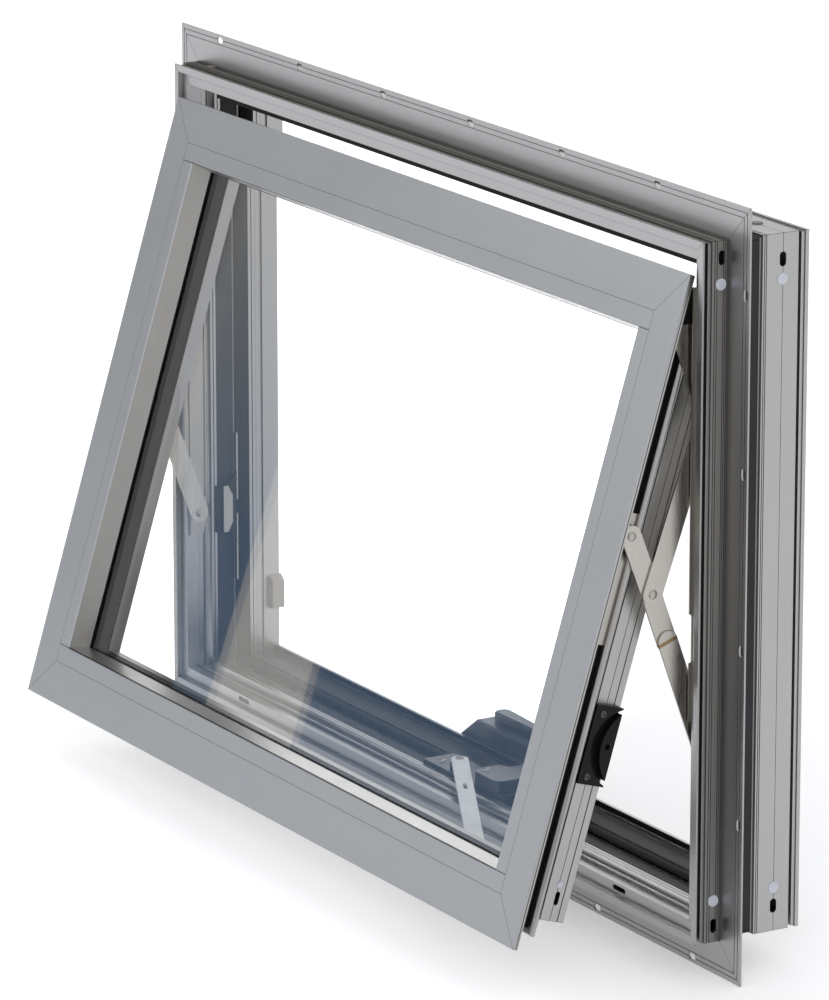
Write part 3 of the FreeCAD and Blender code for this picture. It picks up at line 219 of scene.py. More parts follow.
class AwningStageSettings(bpy.types.PropertyGroup):
    """Camera, lights and background."""

    azimuth: bpy.props.FloatProperty(name="Azimuth", description="Degrees from the front to the right",
                                     default=59.4918)
    elevation: bpy.props.FloatProperty(name="Elevation", description="Degrees above the horizon",
                                       default=14.7931)
    distance: length("Distance", "Camera to the middle of the nail fin's face", 5.593)
    slide: bpy.props.FloatVectorProperty(name="Slide", description="Camera shift to the right and up",
                                         size=2, default=(-0.0272, -0.0206), unit="LENGTH")
    lens: bpy.props.FloatProperty(name="Lens", description="Focal length in millimetres", default=224.1144)
    floor_colour: colour("Floor", "Colour of the floor", (0.9, 0.9, 0.9))
    floor_size: length("Floor size", "Half the width of the floor", 30.0)
    card_colour: colour("Card", "Navy card that the glass reflects", (0.17, 0.26, 0.4))


def link(obj):
    bpy.context.scene.collection.objects.link(obj)
    return obj


class Tree:
    """Short calls for adding nodes to a node tree."""

    def __init__(self, tree):
        self.tree = tree

    def node(self, kind, inputs=(), **settings):
        """A node; inputs is a list of (socket, value or source)."""
        made = self.tree.nodes.new(kind)
        for key, value in settings.items():
            setattr(made, key, value)
        for socket, value in inputs:
            self.put(made.inputs[socket], value)
        return made

    def put(self, socket, value):
        if isinstance(value, bpy.types.NodeSocket):
            self.tree.links.new(value, socket)
        else:
            socket.default_value = value

    def math(self, operation, *values):
        made = self.node("ShaderNodeMath", operation=operation)
        for socket, value in zip(made.inputs, values):
            self.put(socket, value)
        return made.outputs[0]


class Finish(Tree):
    """A material on one Principled shader."""

    def __init__(self, name, metallic=0.0, roughness=0.5):
        self.material = bpy.data.materials.new(name)
        self.material.use_nodes = True
        super().__init__(self.material.node_tree)
        self.shader = self.tree.nodes["Principled BSDF"]
        self.shader.inputs["Metallic"].default_value = metallic
        self.shader.inputs["Roughness"].default_value = roughness

    def finish_with(self, surface):
        """Puts another surface in the shader's place."""
        self.put(self.tree.nodes["Material Output"].inputs["Surface"], surface)

    def place(self, matrix=None):
        """Object coordinates, or places before the given move."""
        source = self.node("ShaderNodeTexCoord").outputs["Object"]
        if matrix is None:
            return source
        back = matrix.inverted()
        mapping = self.node("ShaderNodeMapping", [("Vector", source), ("Location", back.translation),
                                                  ("Rotation", back.to_euler())])
        return mapping.outputs["Vector"]

    def split(self, vector):
        return self.node("ShaderNodeSeparateXYZ", [("Vector", vector)]).outputs

    def noise(self, vector, scale, stretch=(1, 1, 1), detail=2.0):
        """Noise of about scale spots a metre, stretched along the axes of small numbers."""
        mapping = self.node("ShaderNodeMapping", [("Vector", vector), ("Scale", stretch)])
        made = self.node("ShaderNodeTexNoise", [("Vector", mapping.outputs[0]), ("Scale", scale),
                                                ("Detail", detail)])
        return made.outputs["Fac"]

    def fade(self, value, start, end):
        """1 below start, 0 above end."""
        made = self.node("ShaderNodeMapRange", [("Value", value), ("From Min", start), ("From Max", end),
                                                ("To Min", 1.0), ("To Max", 0.0)])
        return made.outputs["Result"]

    def hairline(self, value, width):
        """Mask of the places where value is nearly nought."""
        return self.fade(self.math("ABSOLUTE", value), width * 0.35, width * 0.65)

    def within(self, value, low, high):
        """Mask of low < value < high."""
        return self.math("MULTIPLY", self.math("GREATER_THAN", value, low),
                         self.math("LESS_THAN", value, high))

    def mix(self, factor, first, second):
        """Colour between two colours or sources."""
        made = self.node("ShaderNodeMix", data_type="RGBA")
        for socket, value in ((made.inputs[0], factor), (made.inputs[6], first), (made.inputs[7], second)):
            if isinstance(value, tuple):
                value = (*value, 1)
            self.put(socket, value)
        return made.outputs[2]

    def spread(self, value, low, high):
        """The middle half of a noise spread over low..high."""
        made = self.node("ShaderNodeMapRange", [("Value", value), ("From Min", 0.25), ("From Max", 0.75),
                                                ("To Min", low), ("To Max", high)])
        return made.outputs["Result"]

    def relief(self, height, depth, edge_radius=0.0):
        """Bump of the given depth over softened edges."""
        bump = self.node("ShaderNodeBump", [("Height", height), ("Distance", depth), ("Strength", 1.0)])
        if edge_radius:
            soft = self.node("ShaderNodeBevel", [("Radius", edge_radius)], samples=4)
            self.put(bump.inputs["Normal"], soft.outputs[0])
        self.put(self.shader.inputs["Normal"], bump.outputs[0])

    def occlusion_shade(self, reach):
        """Painted shade: 1 on open faces, towards 0 deep in grooves."""
        shade = self.node("ShaderNodeAmbientOcclusion", [("Distance", reach)], samples=6, only_local=True)
        return self.math("POWER", shade.outputs["AO"], 1.3)

    def colour(self, value):
        self.put(self.shader.inputs["Base Color"], value)

    def rough(self, value):
        self.put(self.shader.inputs["Roughness"], value)


def scaled(values, factor):
    return tuple(v * factor for v in values)


def paint_nodes(finish, *names):
    """Gives a finish to CAD nodes."""
    for name in names:
        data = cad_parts[name].data
        data.materials.clear()
        data.materials.append(finish.material)


def corner_seam(finish, axes, half_width, half_height, width):
    """Hairline of the mitres of a rectangle round the origin."""
    across = finish.math("SUBTRACT", finish.math("ABSOLUTE", axes["X"]), finish.math("ABSOLUTE", axes["Z"]))
    off = finish.math("SUBTRACT", across, half_width - half_height)
    return finish.hairline(off, width * math.sqrt(2))


def aluminium(name, tone, along, move, hairlines_and_shade, settings, shaded_patch):
    """Satin extruded aluminium: fine lines along the bar, soft clouds, dark hairlines at the joints, painted
    shade deep in grooves.

    hairlines_and_shade(finish, axes) returns the masks of the dark hairlines and of painted shade in grooves,
    and shaded_patch is a mask and its own tone of painted shade.
    """
    finish = Finish(name, metallic=1.0, roughness=settings.roughness)
    place = finish.place(move)
    axes = finish.split(place)
    stretch = (0.004, 1, 1) if along == "X" else (1, 1, 0.004)
    lines = finish.noise(place, 900, stretch, detail=3.0)
    clouds = finish.noise(place, 9, detail=2.0)
    grain = finish.noise(place, 2600, detail=1.0)
    swing = settings.line_depth * 0.45

    def lined(base):
        return finish.mix(finish.spread(lines, 0, 1), scaled(base, 1 - swing), scaled(base, 1 + swing))

    light = finish.mix(finish.spread(clouds, 0, 0.3), lined(tone), scaled(tone, 0.96))
    shaded_patch_mask, shaded_patch_tone = shaded_patch
    # Painted shade: the patch takes its own darker tone of the same aluminium.
    light = finish.mix(shaded_patch_mask(finish, axes), light, lined(shaded_patch_tone))
    dark = None
    for mask in hairlines_and_shade(finish, axes):
        dark = mask if dark is None else finish.math("MAXIMUM", dark, mask)
    # Painted shade: grooves fade towards a near-black tone of the metal by their depth.
    light = finish.mix(finish.occlusion_shade(settings.cavity_shade_reach), scaled(tone, 0.08), light)
    # The dark masks paint hairlines at the joints and painted shade in the grooves.
    finish.colour(finish.mix(dark, light, tuple(settings.seam)))
    broad = finish.spread(clouds, settings.roughness - 0.01, settings.roughness + 0.02)
    finish.rough(finish.math("ADD", finish.spread(lines, -0.015, 0.015), broad))
    height = finish.math("ADD", finish.math("MULTIPLY", lines, settings.line_depth),
                         finish.math("MULTIPLY", grain, 0.1))
    finish.relief(height, 0.00002, settings.edge_radius)
    return finish


def frame_inset(finish, axes):
    """Distance inwards from the outside of the frame."""
    return finish.math("MINIMUM", finish.math("SUBTRACT", HALF_WIDTH, finish.math("ABSOLUTE", axes["X"])),
                       finish.math("SUBTRACT", HALF_HEIGHT, finish.math("ABSOLUTE", axes["Z"])))


def frame_seams_and_shade(settings):
    """Dark places of the frame: hairlines at its mitres and painted shade in the open groove."""
    def masks(finish, axes):
        throat_shade = finish.math("MULTIPLY", finish.within(axes["Y"], FLANGE_BACK, SHOULDER),
                             finish.math("LESS_THAN", frame_inset(finish, axes), THROAT_SHADE_DEPTH))
        return [corner_seam(finish, axes, HALF_WIDTH, HALF_HEIGHT, settings.seam_width), throat_shade]
    return masks


def ribbed_side(finish, axes):
    """Outside of the outer chamber, between the groove and the fin, which gets a tone of painted shade."""
    return finish.math("MULTIPLY", finish.within(axes["Y"], SHOULDER, FIN_FRONT),
                       finish.within(frame_inset(finish, axes), -RIB_DEPTH, RIB_DEPTH))


def sash_front(finish, axes):
    """Face of the sash and of its beads, which gets a tone of painted shade and painted blue reflection."""
    return finish.math("LESS_THAN", axes["Y"], FACE_DEPTH)


def insets(finish, axes):
    """Distances from the upright and level edges of the sash."""
    return (finish.math("SUBTRACT", SASH_HALF_WIDTH, finish.math("ABSOLUTE", axes["X"])),
            finish.math("SUBTRACT", SASH_HALF_HEIGHT, finish.math("ABSOLUTE", axes["Z"])))


def bead_seam(finish, axes, width):
    """Hairline round the beads on the face of the sash."""
    upright, level = insets(finish, axes)
    inset = finish.math("MINIMUM", upright, level)
    line = finish.hairline(finish.math("SUBTRACT", inset, BEAD_SEAM), width)
    return finish.math("MULTIPLY", line, finish.math("LESS_THAN", axes["Y"], FACE_DEPTH))


def sash_seams_and_shade(settings):
    """Dark places of the sash: hairlines at its mitres and at the joint with the beads, and the hardware
    groove, painted dark as its shade and its black gasket.
    """
    def masks(finish, axes):
        upright, level = insets(finish, axes)
        inset = finish.math("MINIMUM", upright, level)
        # Painted shade and the black of a gasket in the hardware groove.
        groove = finish.math("MULTIPLY", finish.within(axes["Y"], GROOVE_START, GROOVE_END),
                             finish.math("LESS_THAN", inset, GROOVE_SHADE_END))
        mitre = corner_seam(finish, axes, SASH_HALF_WIDTH, SASH_HALF_HEIGHT, settings.seam_width)
        return [mitre, bead_seam(finish, axes, settings.seam_width), groove]
    return masks


def bead_seams(settings):
    """Dark places of the beads: their joints with the sash and with each other."""
    def masks(finish, axes):
        level = insets(finish, axes)[1]
        end = finish.hairline(finish.math("SUBTRACT", level, BEAD_END), settings.seam_width * 2)
        return [bead_seam(finish, axes, settings.seam_width), end]
    return masks


class AWNING_OT_frame(bpy.types.Operator):
    """Satin aluminium on the head, sill and jambs"""

    bl_idname = "awning.frame"
    bl_label = "Frame"

    def execute(self, context):
        settings = context.scene.awning_metal
        centre = Matrix.Translation(FRAME_MIDDLE)
        # Painted shade: the ribbed sides of the head and sill, and of the jambs, get their own darker tones.
        for along, bars, side in (("X", ("head", "sill"), settings.head_top_shade),
                                  ("Z", ("left_jamb", "right_jamb"), settings.jamb_side_shade)):
            for layer, tone in (("outer", settings.aluminium), ("inner", settings.inner_aluminium)):
                finish = aluminium("frame_" + layer + "_" + along, tuple(tone), along, centre,
                                   frame_seams_and_shade(settings), settings, (ribbed_side, tuple(side)))
                paint_nodes(finish, *("frame_" + bar + "_" + layer for bar in bars))
        return {"FINISHED"}


class AWNING_OT_sash(bpy.types.Operator):
    """Satin aluminium on the sash and its beads"""

    bl_idname = "awning.sash"
    bl_label = "Sash"

    def execute(self, context):
        settings = context.scene.awning_metal
        tone = tuple(settings.inner_aluminium)
        # Painted shade and painted blue reflection on the face of the sash and its beads.
        front = (sash_front, tuple(settings.face_shade_aluminium))
        for along, bars, beads in (("X", ("top_rail", "bottom_rail"), ("top", "bottom")),
                                   ("Z", ("left_stile", "right_stile"), ("left", "right"))):
            finish = aluminium("sash_" + along, tone, along, SASH, sash_seams_and_shade(settings), settings, front)
            paint_nodes(finish, *("sash_" + bar + "_" + layer for bar in bars
                                  for layer in ("outer", "inner")))
            finish = aluminium("beads_" + along, tone, along, SASH, bead_seams(settings), settings, front)
            paint_nodes(finish, *("glazing_bead_" + bead for bead in beads))
        return {"FINISHED"}


def plastic(name, tone, roughness, grain, depth, gloss=0.3):
    """Moulded or drawn plastic and rubber with a fine grain."""
    finish = Finish(name, roughness=roughness)
    finish.shader.inputs["Specular IOR Level"].default_value = gloss
    place = finish.place()
    fine = finish.noise(place, grain, detail=3.0)
    broad = finish.noise(place, 25, detail=2.0)
    finish.colour(finish.mix(finish.spread(broad, 0, 1), scaled(tone, 0.8), scaled(tone, 1.25)))
    finish.rough(finish.spread(fine, roughness - 0.08, roughness + 0.08))
    finish.relief(fine, depth)
    return finish


class AWNING_OT_seals(bpy.types.Operator):
    """Thermal breaks, seals and the sill's covers"""

    bl_idname = "awning.seals"
    bl_label = "Seals"

    def execute(self, context):
        settings = context.scene.awning_fittings
        breaks = plastic("thermal_break", tuple(settings.thermal_break), 0.55, 1500, 0.00004)
        paint_nodes(breaks, "frame_thermal_breaks", "sash_thermal_breaks", "sill_cover_strip")
        rubber = plastic("rubber", tuple(settings.rubber), 0.6, 2200, 0.00005, gloss=0.08)
        paint_nodes(rubber, "frame_weather_seal", "head_blade_seal", "sill_leg_seal",
                    "glazing_seal_outer", "glazing_seal_inner")
        return {"FINISHED"}


class AWNING_OT_glass(bpy.types.Operator):
    """Panes and spacer of the insulating glass"""

    bl_idname = "awning.glass"
    bl_label = "Glass"

    def execute(self, context):
        settings = context.scene.awning_fittings
        finish = Finish("glass", roughness=0.0)
        sockets = finish.shader.inputs
        sockets["Transmission Weight"].default_value = 1.0
        sockets["IOR"].default_value = 1.5
        place = finish.place(SASH)
        haze = finish.noise(place, 3, detail=1.0)
        finish.colour(finish.mix(haze, tuple(settings.glass), (1.0, 1.0, 1.0)))
        ripple = finish.noise(place, 2.5, detail=0.0)
        finish.relief(ripple, 0.00002)
        paint_nodes(finish, "glass_outer_pane", "glass_inner_pane")
        spacer = plastic("spacer", tuple(settings.spacer), 0.45, 1200, 0.00003, gloss=0.04)
        paint_nodes(spacer, "glass_spacer")
        return {"FINISHED"}


def steel(name, tone, roughness, stretch, band=None):
    """Brushed steel; band is a mask and the colour worn into it."""
    finish = Finish(name, metallic=1.0, roughness=roughness)
    place = finish.place()
    brushed = finish.noise(place, 1300, stretch, detail=3.0)
    clouds = finish.noise(place, 22, detail=2.0)
    light = finish.mix(finish.spread(brushed, 0, 1), scaled(tone, 0.86), scaled(tone, 1.06))
    light = finish.mix(finish.spread(clouds, 0, 0.4), light, scaled(tone, 0.9))
    if band:
        light = band(finish, finish.split(place), light)
    finish.colour(light)
    finish.rough(finish.spread(brushed, roughness - 0.06, roughness + 0.06))
    finish.relief(brushed, 0.00003, 0.0003)
    return finish


def crease_band(brass):
    """Worn band across the long arm at its crease."""
    run = Vector((SHOE[0] - ELBOW[0], SHOE[1] - ELBOW[1])).normalized()

    def band(finish, axes, light):
        along_y = finish.math("MULTIPLY", finish.math("SUBTRACT", axes["Y"], ELBOW[0]), run.x)
        along_z = finish.math("MULTIPLY", finish.math("SUBTRACT", axes["Z"], ELBOW[1]), run.y)
        off = finish.math("SUBTRACT", finish.math("ADD", along_y, along_z), CREASE_AT)
        return finish.mix(finish.hairline(off, CREASE_WIDTH), light, brass)
    return band


def painted(name, tone, roughness, depth=0.00004, gloss=0.5):
    """Powder-painted casting with a fine orange-peel surface."""
    finish = Finish(name, roughness=roughness)
    finish.shader.inputs["Specular IOR Level"].default_value = gloss
    place = finish.place()
    peel = finish.noise(place, 700, detail=2.0)
    broad = finish.noise(place, 30, detail=2.0)
    finish.colour(finish.mix(finish.spread(broad, 0, 1), scaled(tone, 0.88), scaled(tone, 1.12)))
    finish.rough(finish.spread(peel, roughness - 0.07, roughness + 0.07))
    finish.relief(peel, depth, 0.0004)
    return finish


class AWNING_OT_fittings(bpy.types.Operator):
    """Stays, guides, locks and crank operator"""

    bl_idname = "awning.fittings"
    bl_label = "Fittings"

    def execute(self, context):
        settings = context.scene.awning_fittings
        tone = tuple(settings.stainless)
        slide = steel("stainless_track", scaled(tone, 0.86), 0.36, (1, 1, 0.01))
        arms = steel("stainless_arm", tone, 0.3, (1, 1, 0.05), crease_band(tuple(settings.brass)))
        black = painted("black_fitting", tuple(settings.black), 0.36, gloss=0.15)
        for side in ("left", "right"):
            stay = "stay_" + side
            paint_nodes(slide, stay + "_track", stay + "_shoe", stay + "_sash_bar", "lock_bar_" + side)
            paint_nodes(arms, stay + "_short_arm", stay + "_long_arm", "head_bracket_" + side)
            paint_nodes(black, "head_guide_" + side, "lock_keeper_" + side, "lock_body_" + side)
        paint_nodes(painted("pull_arm", tuple(settings.pull_arm), 0.35), "operator_arm")
        paint_nodes(steel("sash_rail", scaled(tone, 0.8), 0.35, (0.01, 1, 1)), "operator_sash_rail")
        slate = painted("operator_paint", tuple(settings.slate), 0.38)
        paint_nodes(slate, "operator_housing", "operator_cover", "operator_crank")
        paint_nodes(painted("lever_paint", tuple(settings.lever), 0.4), "lock_lever_left", "lock_lever_right")
        return {"FINISHED"}


class Scatter(Tree):
    """A geometry nodes tree that sets one head on each point of a mesh, facing along its stored direction."""

    def __init__(self, name):
        super().__init__(bpy.data.node_groups.new(name, "GeometryNodeTree"))
        face = self.tree.interface
        face.new_socket("Geometry", in_out="OUTPUT", socket_type="NodeSocketGeometry")
        face.new_socket("Geometry", in_out="INPUT", socket_type="NodeSocketGeometry")
        for label in ("Radius", "Height"):
            face.new_socket(label, in_out="INPUT", socket_type="NodeSocketFloat")
        face.new_socket("Finish", in_out="INPUT", socket_type="NodeSocketMaterial")
        self.entry = self.node("NodeGroupInput").outputs
        self.exit = self.node("NodeGroupOutput").inputs

    def close(self, unit_head, smooth):
        """Heads of the given radius and height on the points, made real and given their finish."""
        radius = self.entry["Radius"]
        size = self.node("ShaderNodeCombineXYZ", [("X", radius), ("Y", radius), ("Z", self.entry["Height"])])
        head = self.node("GeometryNodeTransform", [("Geometry", unit_head), ("Scale", size.outputs[0])])
        facing = self.node("GeometryNodeInputNamedAttribute", [("Name", "facing")], data_type="FLOAT_VECTOR")
        turn = self.node("FunctionNodeAlignRotationToVector", [("Vector", facing.outputs[0])], axis="Z")
        shaded = self.node("GeometryNodeSetShadeSmooth", [("Geometry", head.outputs[0]),
                                                          ("Shade Smooth", smooth)])
        heads = self.node("GeometryNodeInstanceOnPoints", [("Points", self.entry["Geometry"]),
                                                           ("Instance", shaded.outputs[0]),
                                                           ("Rotation", turn.outputs[0])])
        real = self.node("GeometryNodeRealizeInstances", [("Geometry", heads.outputs[0])])
        dressed = self.node("GeometryNodeSetMaterial", [("Geometry", real.outputs[0]),
                                                        ("Material", self.entry["Finish"])])
        self.tree.links.new(dressed.outputs[0], self.exit[0])
        return self.tree


def rivet_tree():
    """Flattened dome."""
    made = Scatter("rivet_heads")
    ball = made.node("GeometryNodeMeshUVSphere", [("Segments", 24), ("Rings", 12), ("Radius", 1.0)])
    return made.close(ball.outputs[0], True)


def plug_tree():
    """Flat disc with a bevelled rim."""
    made = Scatter("plug_discs")
    cone = made.node("GeometryNodeMeshCone", [("Vertices", 40), ("Radius Top", 0.93), ("Radius Bottom", 1.0),
                                              ("Depth", 2.0)])
    moved = made.node("GeometryNodeTransform", [("Geometry", cone.outputs[0]), ("Translation", (0, 0, -1.0))])
    return made.close(moved.outputs[0], False)


def screw_tree():
    """Low domed head with a cross recess."""
    made = Scatter("screw_heads")
    cut = made.node("GeometryNodeMeshUVSphere", [("Segments", 28), ("Rings", 14), ("Radius", 1.0)]).outputs[0]
    for size in ((1.15, 0.26, 1.0), (0.26, 1.15, 1.0)):
        bar = made.node("GeometryNodeMeshCube", [("Size", size)])
        raised = made.node("GeometryNodeTransform", [("Geometry", bar.outputs[0]),
                                                     ("Translation", (0, 0, 1.0))])
        boolean = made.node("GeometryNodeMeshBoolean", [("Mesh 1", cut), ("Mesh 2", raised.outputs[0])],
                            operation="DIFFERENCE")
        cut = boolean.outputs[0]
    return made.close(cut, False)


def set_heads(name, tree, places, radius, height, finish):
    """One piece with a head at each (place, direction)."""
    mesh = bpy.data.meshes.new(name)
    mesh.from_pydata([place for place, facing in places], [], [])
    attribute = mesh.attributes.new("facing", "FLOAT_VECTOR", "POINT")
    for item, (place, facing) in zip(attribute.data, places):
        item.vector = facing
    piece = link(bpy.data.objects.new(name, mesh))
    modifier = piece.modifiers.new("heads", "NODES")
    modifier.node_group = tree
    wanted = {"Radius": radius, "Height": height, "Finish": finish.material}
    for item in tree.interface.items_tree:
        if item.in_out == "INPUT" and item.name in wanted:
            modifier[item.identifier] = wanted[item.name]
    graph = bpy.context.evaluated_depsgraph_get()
    made = bpy.data.meshes.new_from_object(piece.evaluated_get(graph), depsgraph=graph)
    piece.modifiers.remove(modifier)
    piece.data = made
    piece.data.name = name
    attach(piece, "root")


def both_sides(places):
    """Places and their mirror images on the other side of the window."""
    mirrored = [(Vector((-p.x, p.y, p.z)), Vector((-d.x, d.y, d.z))) for p, d in places]
    return places + mirrored


def on_sash(x, depth, down):
    """Sash point at a distance below the head."""
    return SASH @ Vector((x, depth, SASH_HALF_HEIGHT - down))


class AWNING_OT_rivets(bpy.types.Operator):
    """Rivets of the scissor stays"""

    bl_idname = "awning.rivets"
    bl_label = "Rivets"

    def execute(self, context):
        sizes = context.scene.awning_fasteners
        tone = scaled(tuple(context.scene.awning_fittings.stainless), 0.9)
        finish = steel("rivet_steel", tone, 0.28, (1, 1, 1))
        middle_face = SHORT_ARM_FACE - ARM_THICKNESS
        inner_face = middle_face - ARM_THICKNESS
        pin = on_sash(middle_face, (GROOVE_START + GROOVE_END) / 2, SASH_PIN_DOWN)
        places = both_sides([
            (Vector((SHORT_ARM_FACE, *ELBOW)), OUT),
            (Vector((inner_face, *ELBOW)), -OUT),
            (Vector((middle_face, *PIVOT)), -OUT),
            (Vector((middle_face, *SHOE)), -OUT),
            (pin, OUT),
        ])
        set_heads("stay_rivets", rivet_tree(), places, sizes.rivet_radius, sizes.rivet_height,
                  finish)
        return {"FINISHED"}


class AWNING_OT_screws(bpy.types.Operator):
    """Screws of the keepers and of the crank operator"""

    bl_idname = "awning.screws"
    bl_label = "Screws"

    def execute(self, context):
        sizes = context.scene.awning_fasteners
        fittings = context.scene.awning_fittings
        tree = screw_tree()
        bright = steel("screw_steel", tuple(fittings.stainless), 0.25, (1, 1, 1))
        dark = steel("screw_black", scaled(tuple(fittings.stainless), 0.2), 0.25, (1, 1, 1))
        keeper = [(on_sash(KEEPER_FACE, KEEPER_SCREW_DEPTH, down), OUT) for down in KEEPER_SCREWS_DOWN]
        set_heads("keeper_screws", tree, both_sides(keeper), sizes.screw_radius, sizes.screw_height,
                  dark)
        operator = [(Vector((x, GEAR[1], SEAT_TOP)), UP) for x in BASE_SCREWS]
        operator += [(Vector((*GEAR_CASE_SCREW, CASE_TOP)), UP), (Vector((*GEAR, ARM_TOP)), UP)]
        set_heads("operator_screws", tree, operator, sizes.screw_radius * OPERATOR_SCREW_SCALE,
                  sizes.screw_height, bright)
        return {"FINISHED"}


class AWNING_OT_plugs(bpy.types.Operator):
    """Plastic plugs in the jambs, the head and the stiles"""

    bl_idname = "awning.plugs"
    bl_label = "Plugs"

    def execute(self, context):
        sizes = context.scene.awning_fasteners
        tree = plug_tree()
        finish = plastic("plug_plastic", tuple(context.scene.awning_fittings.plug), 0.4, 900, 0.00003)
        jamb = [(Vector((HALF_WIDTH, y, z)), OUT) for y, end in JAMB_PLUGS
                for z in (FRAME_HIGH.z - end, FRAME_LOW.z + end)]
        set_heads("jamb_plugs", tree, both_sides(jamb), sizes.plug_radius, sizes.plug_height,
                  finish)
        # Painted shade: the plugs on the head top are coloured like the head top's painted shade.
        shaded_plug_plastic = plastic("head_plug_plastic", HEAD_PLUG_SHADE_TONE, 0.45, 900, 0.00003)
        head = [(Vector((x, y, FRAME_HIGH.z)), UP) for x, y in HEAD_PLUGS]
        set_heads("head_plugs", tree, head, sizes.plug_radius, sizes.plug_height, shaded_plug_plastic)
        inset, depth, above_foot = STILE_PLUG
        stile = [(on_sash(SASH_HALF_WIDTH - inset, depth, 2 * SASH_HALF_HEIGHT - above_foot), OUT)]
        set_heads("stile_plugs", tree, both_sides(stile), sizes.plug_radius * STILE_PLUG_SCALE,
                  sizes.plug_height, finish)
        return {"FINISHED"}


def make_floor(settings):
    """Pale floor with a glow that only camera, glossy and transmission rays see."""
    mesh = bpy.data.meshes.new("floor")
    h = settings.floor_size
    z = FLOOR - FLOOR_GAP
    mesh.from_pydata([(-h, -h, z), (h, -h, z), (h, h, z), (-h, h, z)], [], [(0, 1, 2, 3)])
    floor = link(bpy.data.objects.new("floor", mesh))
    finish = Finish("pale_floor", roughness=0.9)
    finish.shader.inputs["Base Color"].default_value = (*settings.floor_colour, 1)
    finish.shader.inputs["Specular IOR Level"].default_value = 0.1
    path = finish.node("ShaderNodeLightPath").outputs
    seen = finish.math("MAXIMUM", path["Is Camera Ray"], path["Is Glossy Ray"])
    through = finish.math("MULTIPLY", path["Is Transmission Ray"], FLOOR_GLOW_THROUGH_GLASS)
    glow = finish.node("ShaderNodeEmission",
                       [("Strength", finish.math("MULTIPLY_ADD", seen, FLOOR_GLOW, through))])
    both = finish.node("ShaderNodeAddShader", [(0, finish.shader.outputs[0]), (1, glow.outputs[0])])
    finish.finish_with(both.outputs[0])
    mesh.materials.append(finish.material)


def make_world(scene):
    """Soft sky light, with plain white for what camera, glossy and transmission rays see."""
    scene.world = bpy.data.worlds.new("studio")
    scene.world.use_nodes = True
    sky = Tree(scene.world.node_tree)
    sky.tree.nodes.clear()
    path = sky.node("ShaderNodeLightPath").outputs
    seen = sky.math("MAXIMUM", path["Is Camera Ray"], path["Is Glossy Ray"])
    seen = sky.math("MAXIMUM", seen, path["Is Transmission Ray"])
    light = sky.node("ShaderNodeBackground", [("Color", SKY), ("Strength", SKY_STRENGTH)])
    white = sky.node("ShaderNodeBackground", [("Color", WHITE), ("Strength", 1.0)])
    blend = sky.node("ShaderNodeMixShader", [(0, seen), (1, light.outputs[0]), (2, white.outputs[0])])
    sky.node("ShaderNodeOutputWorld", [("Surface", blend.outputs[0])])


def make_lights():
    """Round lamps: a large key on the left front, a fill on the right and one behind on the left."""
    for name, place, size, power in LAMPS:
        lamp = bpy.data.lights.new(name, "AREA")
        lamp.shape = "DISK"
        lamp.size = size
        lamp.energy = power
        obj = link(bpy.data.objects.new(name, lamp))
        obj.location = place
        aim = FRAME_MIDDLE - obj.location
        obj.rotation_euler = aim.to_track_quat("-Z", "Y").to_euler()


def make_card(name, centre, heading, corners, colour, upper=None, rise=(0, 1), through_glass=False):
    """Upright card of the studio that only reflections show.

    corners are (across, height) on its plane, and colour turns into upper over the heights of rise.
    """
    across = Vector((*heading, 0)).normalized().cross(UP)
    mesh = bpy.data.meshes.new(name)
    mesh.from_pydata([(*(Vector((*centre, 0)) + across * a).xy, h) for a, h in corners], [], [(0, 1, 2, 3)])
    card = link(bpy.data.objects.new(name, mesh))
    finish = Finish(name)
    glow = finish.node("ShaderNodeEmission", [("Color", (*colour, 1))])
    if upper:
        height = finish.split(finish.place())["Z"]
        blend = finish.mix(finish.fade(height, rise[1], rise[0]), colour, upper)
        finish.put(glow.inputs["Color"], blend)
    finish.finish_with(glow.outputs[0])
    finish.tree.nodes.remove(finish.shader)
    mesh.materials.append(finish.material)
    card.visible_camera = False
    card.visible_diffuse = False
    card.visible_transmission = through_glass
    card.visible_shadow = False


def make_cards(settings):
    """Cards that the glass, the level faces, the sill's lip and the left reveal reflect."""
    make_card("black_card", (-12.6, -8.43), GLASS_HEADING, ((-1.1, FLOOR), (4, FLOOR), (4, 3), (-1.1, 3)),
              BLACK, through_glass=True)
    make_card("navy_card", (-12.518, -8.375), GLASS_HEADING,
              ((-1.05, FLOOR), (0.2, FLOOR), (1.42, 2.35), (-1.05, 2.35)),
              tuple(settings.card_colour), (0.42, 0.42, 0.42), (0.8, 1.8), through_glass=True)
    make_card("bright_strip", (-12.43, -8.32), GLASS_HEADING,
              ((-0.14, FLOOR), (0.18, FLOOR), (0.65, 2.2), (0.38, 2.2)),
              (1.0, 0.97, 0.92), (0.8, 0.8, 0.8), through_glass=True)
    make_card("dark_board", (-10.29, 6.18), (-0.857, 0.515), ((-9, FLOOR), (9, FLOOR), (9, 12), (-9, 12)),
              (0.02, 0.018, 0.016))
    make_card("high_board", (-11.5, -3.5), (-0.956, -0.292), ((-3.5, 4.6), (3.5, 4.6), (3.5, 13), (-3.5, 13)),
              (0.12, 0.115, 0.105), (0.04, 0.038, 0.035), (5, 8))
    make_card("warm_card", (0.75, -0.34), (1, 0), ((-0.3, FLOOR), (0.3, FLOOR), (0.3, 0.75), (-0.3, 0.75)),
              (0.15, 0.145, 0.14), (0.7, 0.67, 0.63), (0.0, 0.2))


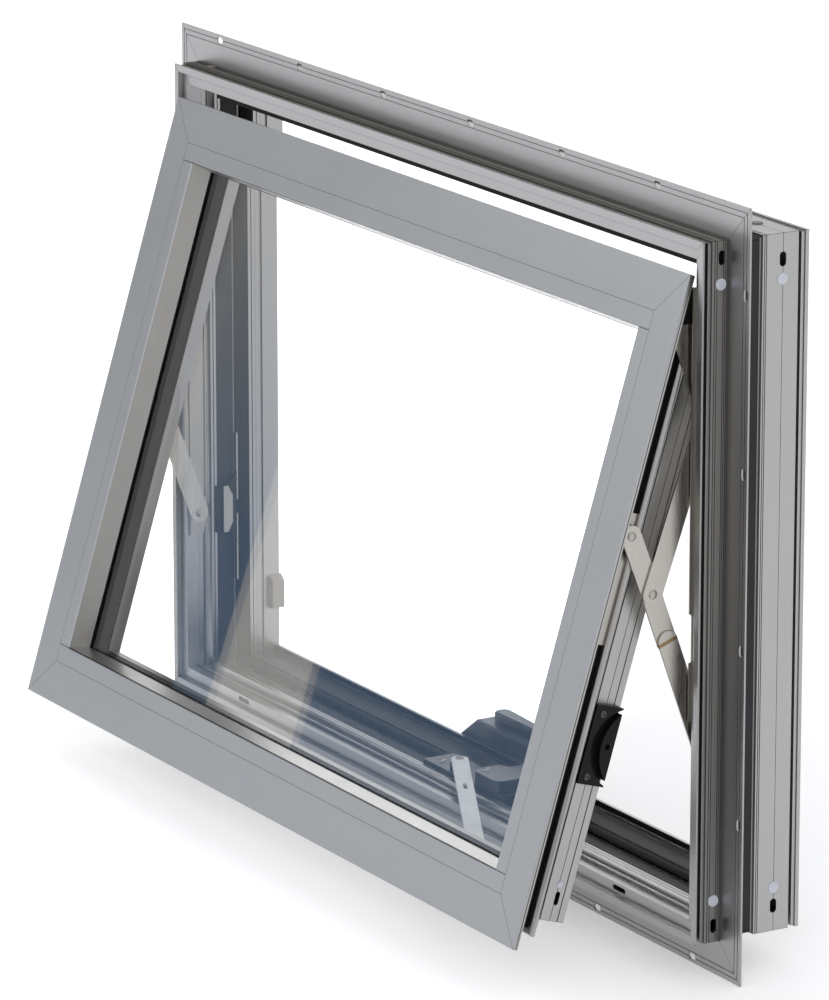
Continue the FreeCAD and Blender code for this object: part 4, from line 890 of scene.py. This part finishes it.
def make_camera(scene, settings):
    """Camera at the viewing angle of the photograph."""
    a = math.radians(settings.azimuth)
    e = math.radians(settings.elevation)
    back = Vector((math.sin(a) * math.cos(e), -math.cos(a) * math.cos(e), math.sin(e)))
    right = (-back).cross(UP).normalized()
    up = right.cross(-back)
    data = bpy.data.cameras.new("camera")
    data.lens = settings.lens
    data.sensor_width = 36.0
    data.clip_start = 0.5
    data.clip_end = 100.0
    camera = link(bpy.data.objects.new("camera", data))
    slide = right * settings.slide[0] + up * settings.slide[1]
    camera.location = FIN_FACE_MIDDLE + slide + back * settings.distance
    camera.rotation_euler = Matrix((right, up, back)).transposed().to_euler()
    scene.camera = camera


class AWNING_OT_stage(bpy.types.Operator):
    """Floor, studio light and a camera at the viewing angle of the photograph"""

    bl_idname = "awning.stage"
    bl_label = "Stage"

    def execute(self, context):
        settings = context.scene.awning_stage
        make_camera(context.scene, settings)
        make_floor(settings)
        make_world(context.scene)
        make_lights()
        make_cards(settings)
        context.scene.view_settings.view_transform = "Standard"
        return {"FINISHED"}


STEPS = (AWNING_OT_stage, AWNING_OT_frame, AWNING_OT_sash, AWNING_OT_seals, AWNING_OT_glass,
         AWNING_OT_fittings, AWNING_OT_rivets, AWNING_OT_screws, AWNING_OT_plugs)
GROUPS = (("awning_stage", AwningStageSettings), ("awning_metal", AwningMetalSettings),
          ("awning_fittings", AwningFittingSettings), ("awning_fasteners", AwningFastenerSettings))


class AWNING_PT_window(bpy.types.Panel):
    """Steps and sizes of the window's looks"""

    bl_idname = "AWNING_PT_window"
    bl_label = "Awning window"
    bl_space_type = "VIEW_3D"
    bl_region_type = "UI"
    bl_category = "Window"

    def draw(self, context):
        for step in STEPS:
            self.layout.operator(step.bl_idname)
        for name, group in GROUPS:
            box = self.layout.box()
            box.label(text=group.__doc__)
            settings = getattr(context.scene, name)
            for key in group.__annotations__:
                box.prop(settings, key)


def register():
    for name, group in GROUPS:
        bpy.utils.register_class(group)
        setattr(bpy.types.Scene, name, bpy.props.PointerProperty(type=group))
    for cls in (*STEPS, AWNING_PT_window):
        bpy.utils.register_class(cls)


def unregister():
    for cls in (AWNING_PT_window, *reversed(STEPS)):
        bpy.utils.unregister_class(cls)
    for name, group in reversed(GROUPS):
        delattr(bpy.types.Scene, name)
        bpy.utils.unregister_class(group)


def main():
    register()
    bpy.ops.awning.stage()
    bpy.ops.awning.frame()
    bpy.ops.awning.sash()
    bpy.ops.awning.seals()
    bpy.ops.awning.glass()
    bpy.ops.awning.fittings()
    bpy.ops.awning.rivets()
    bpy.ops.awning.screws()
    bpy.ops.awning.plugs()


if __name__ == "__main__":
    main()
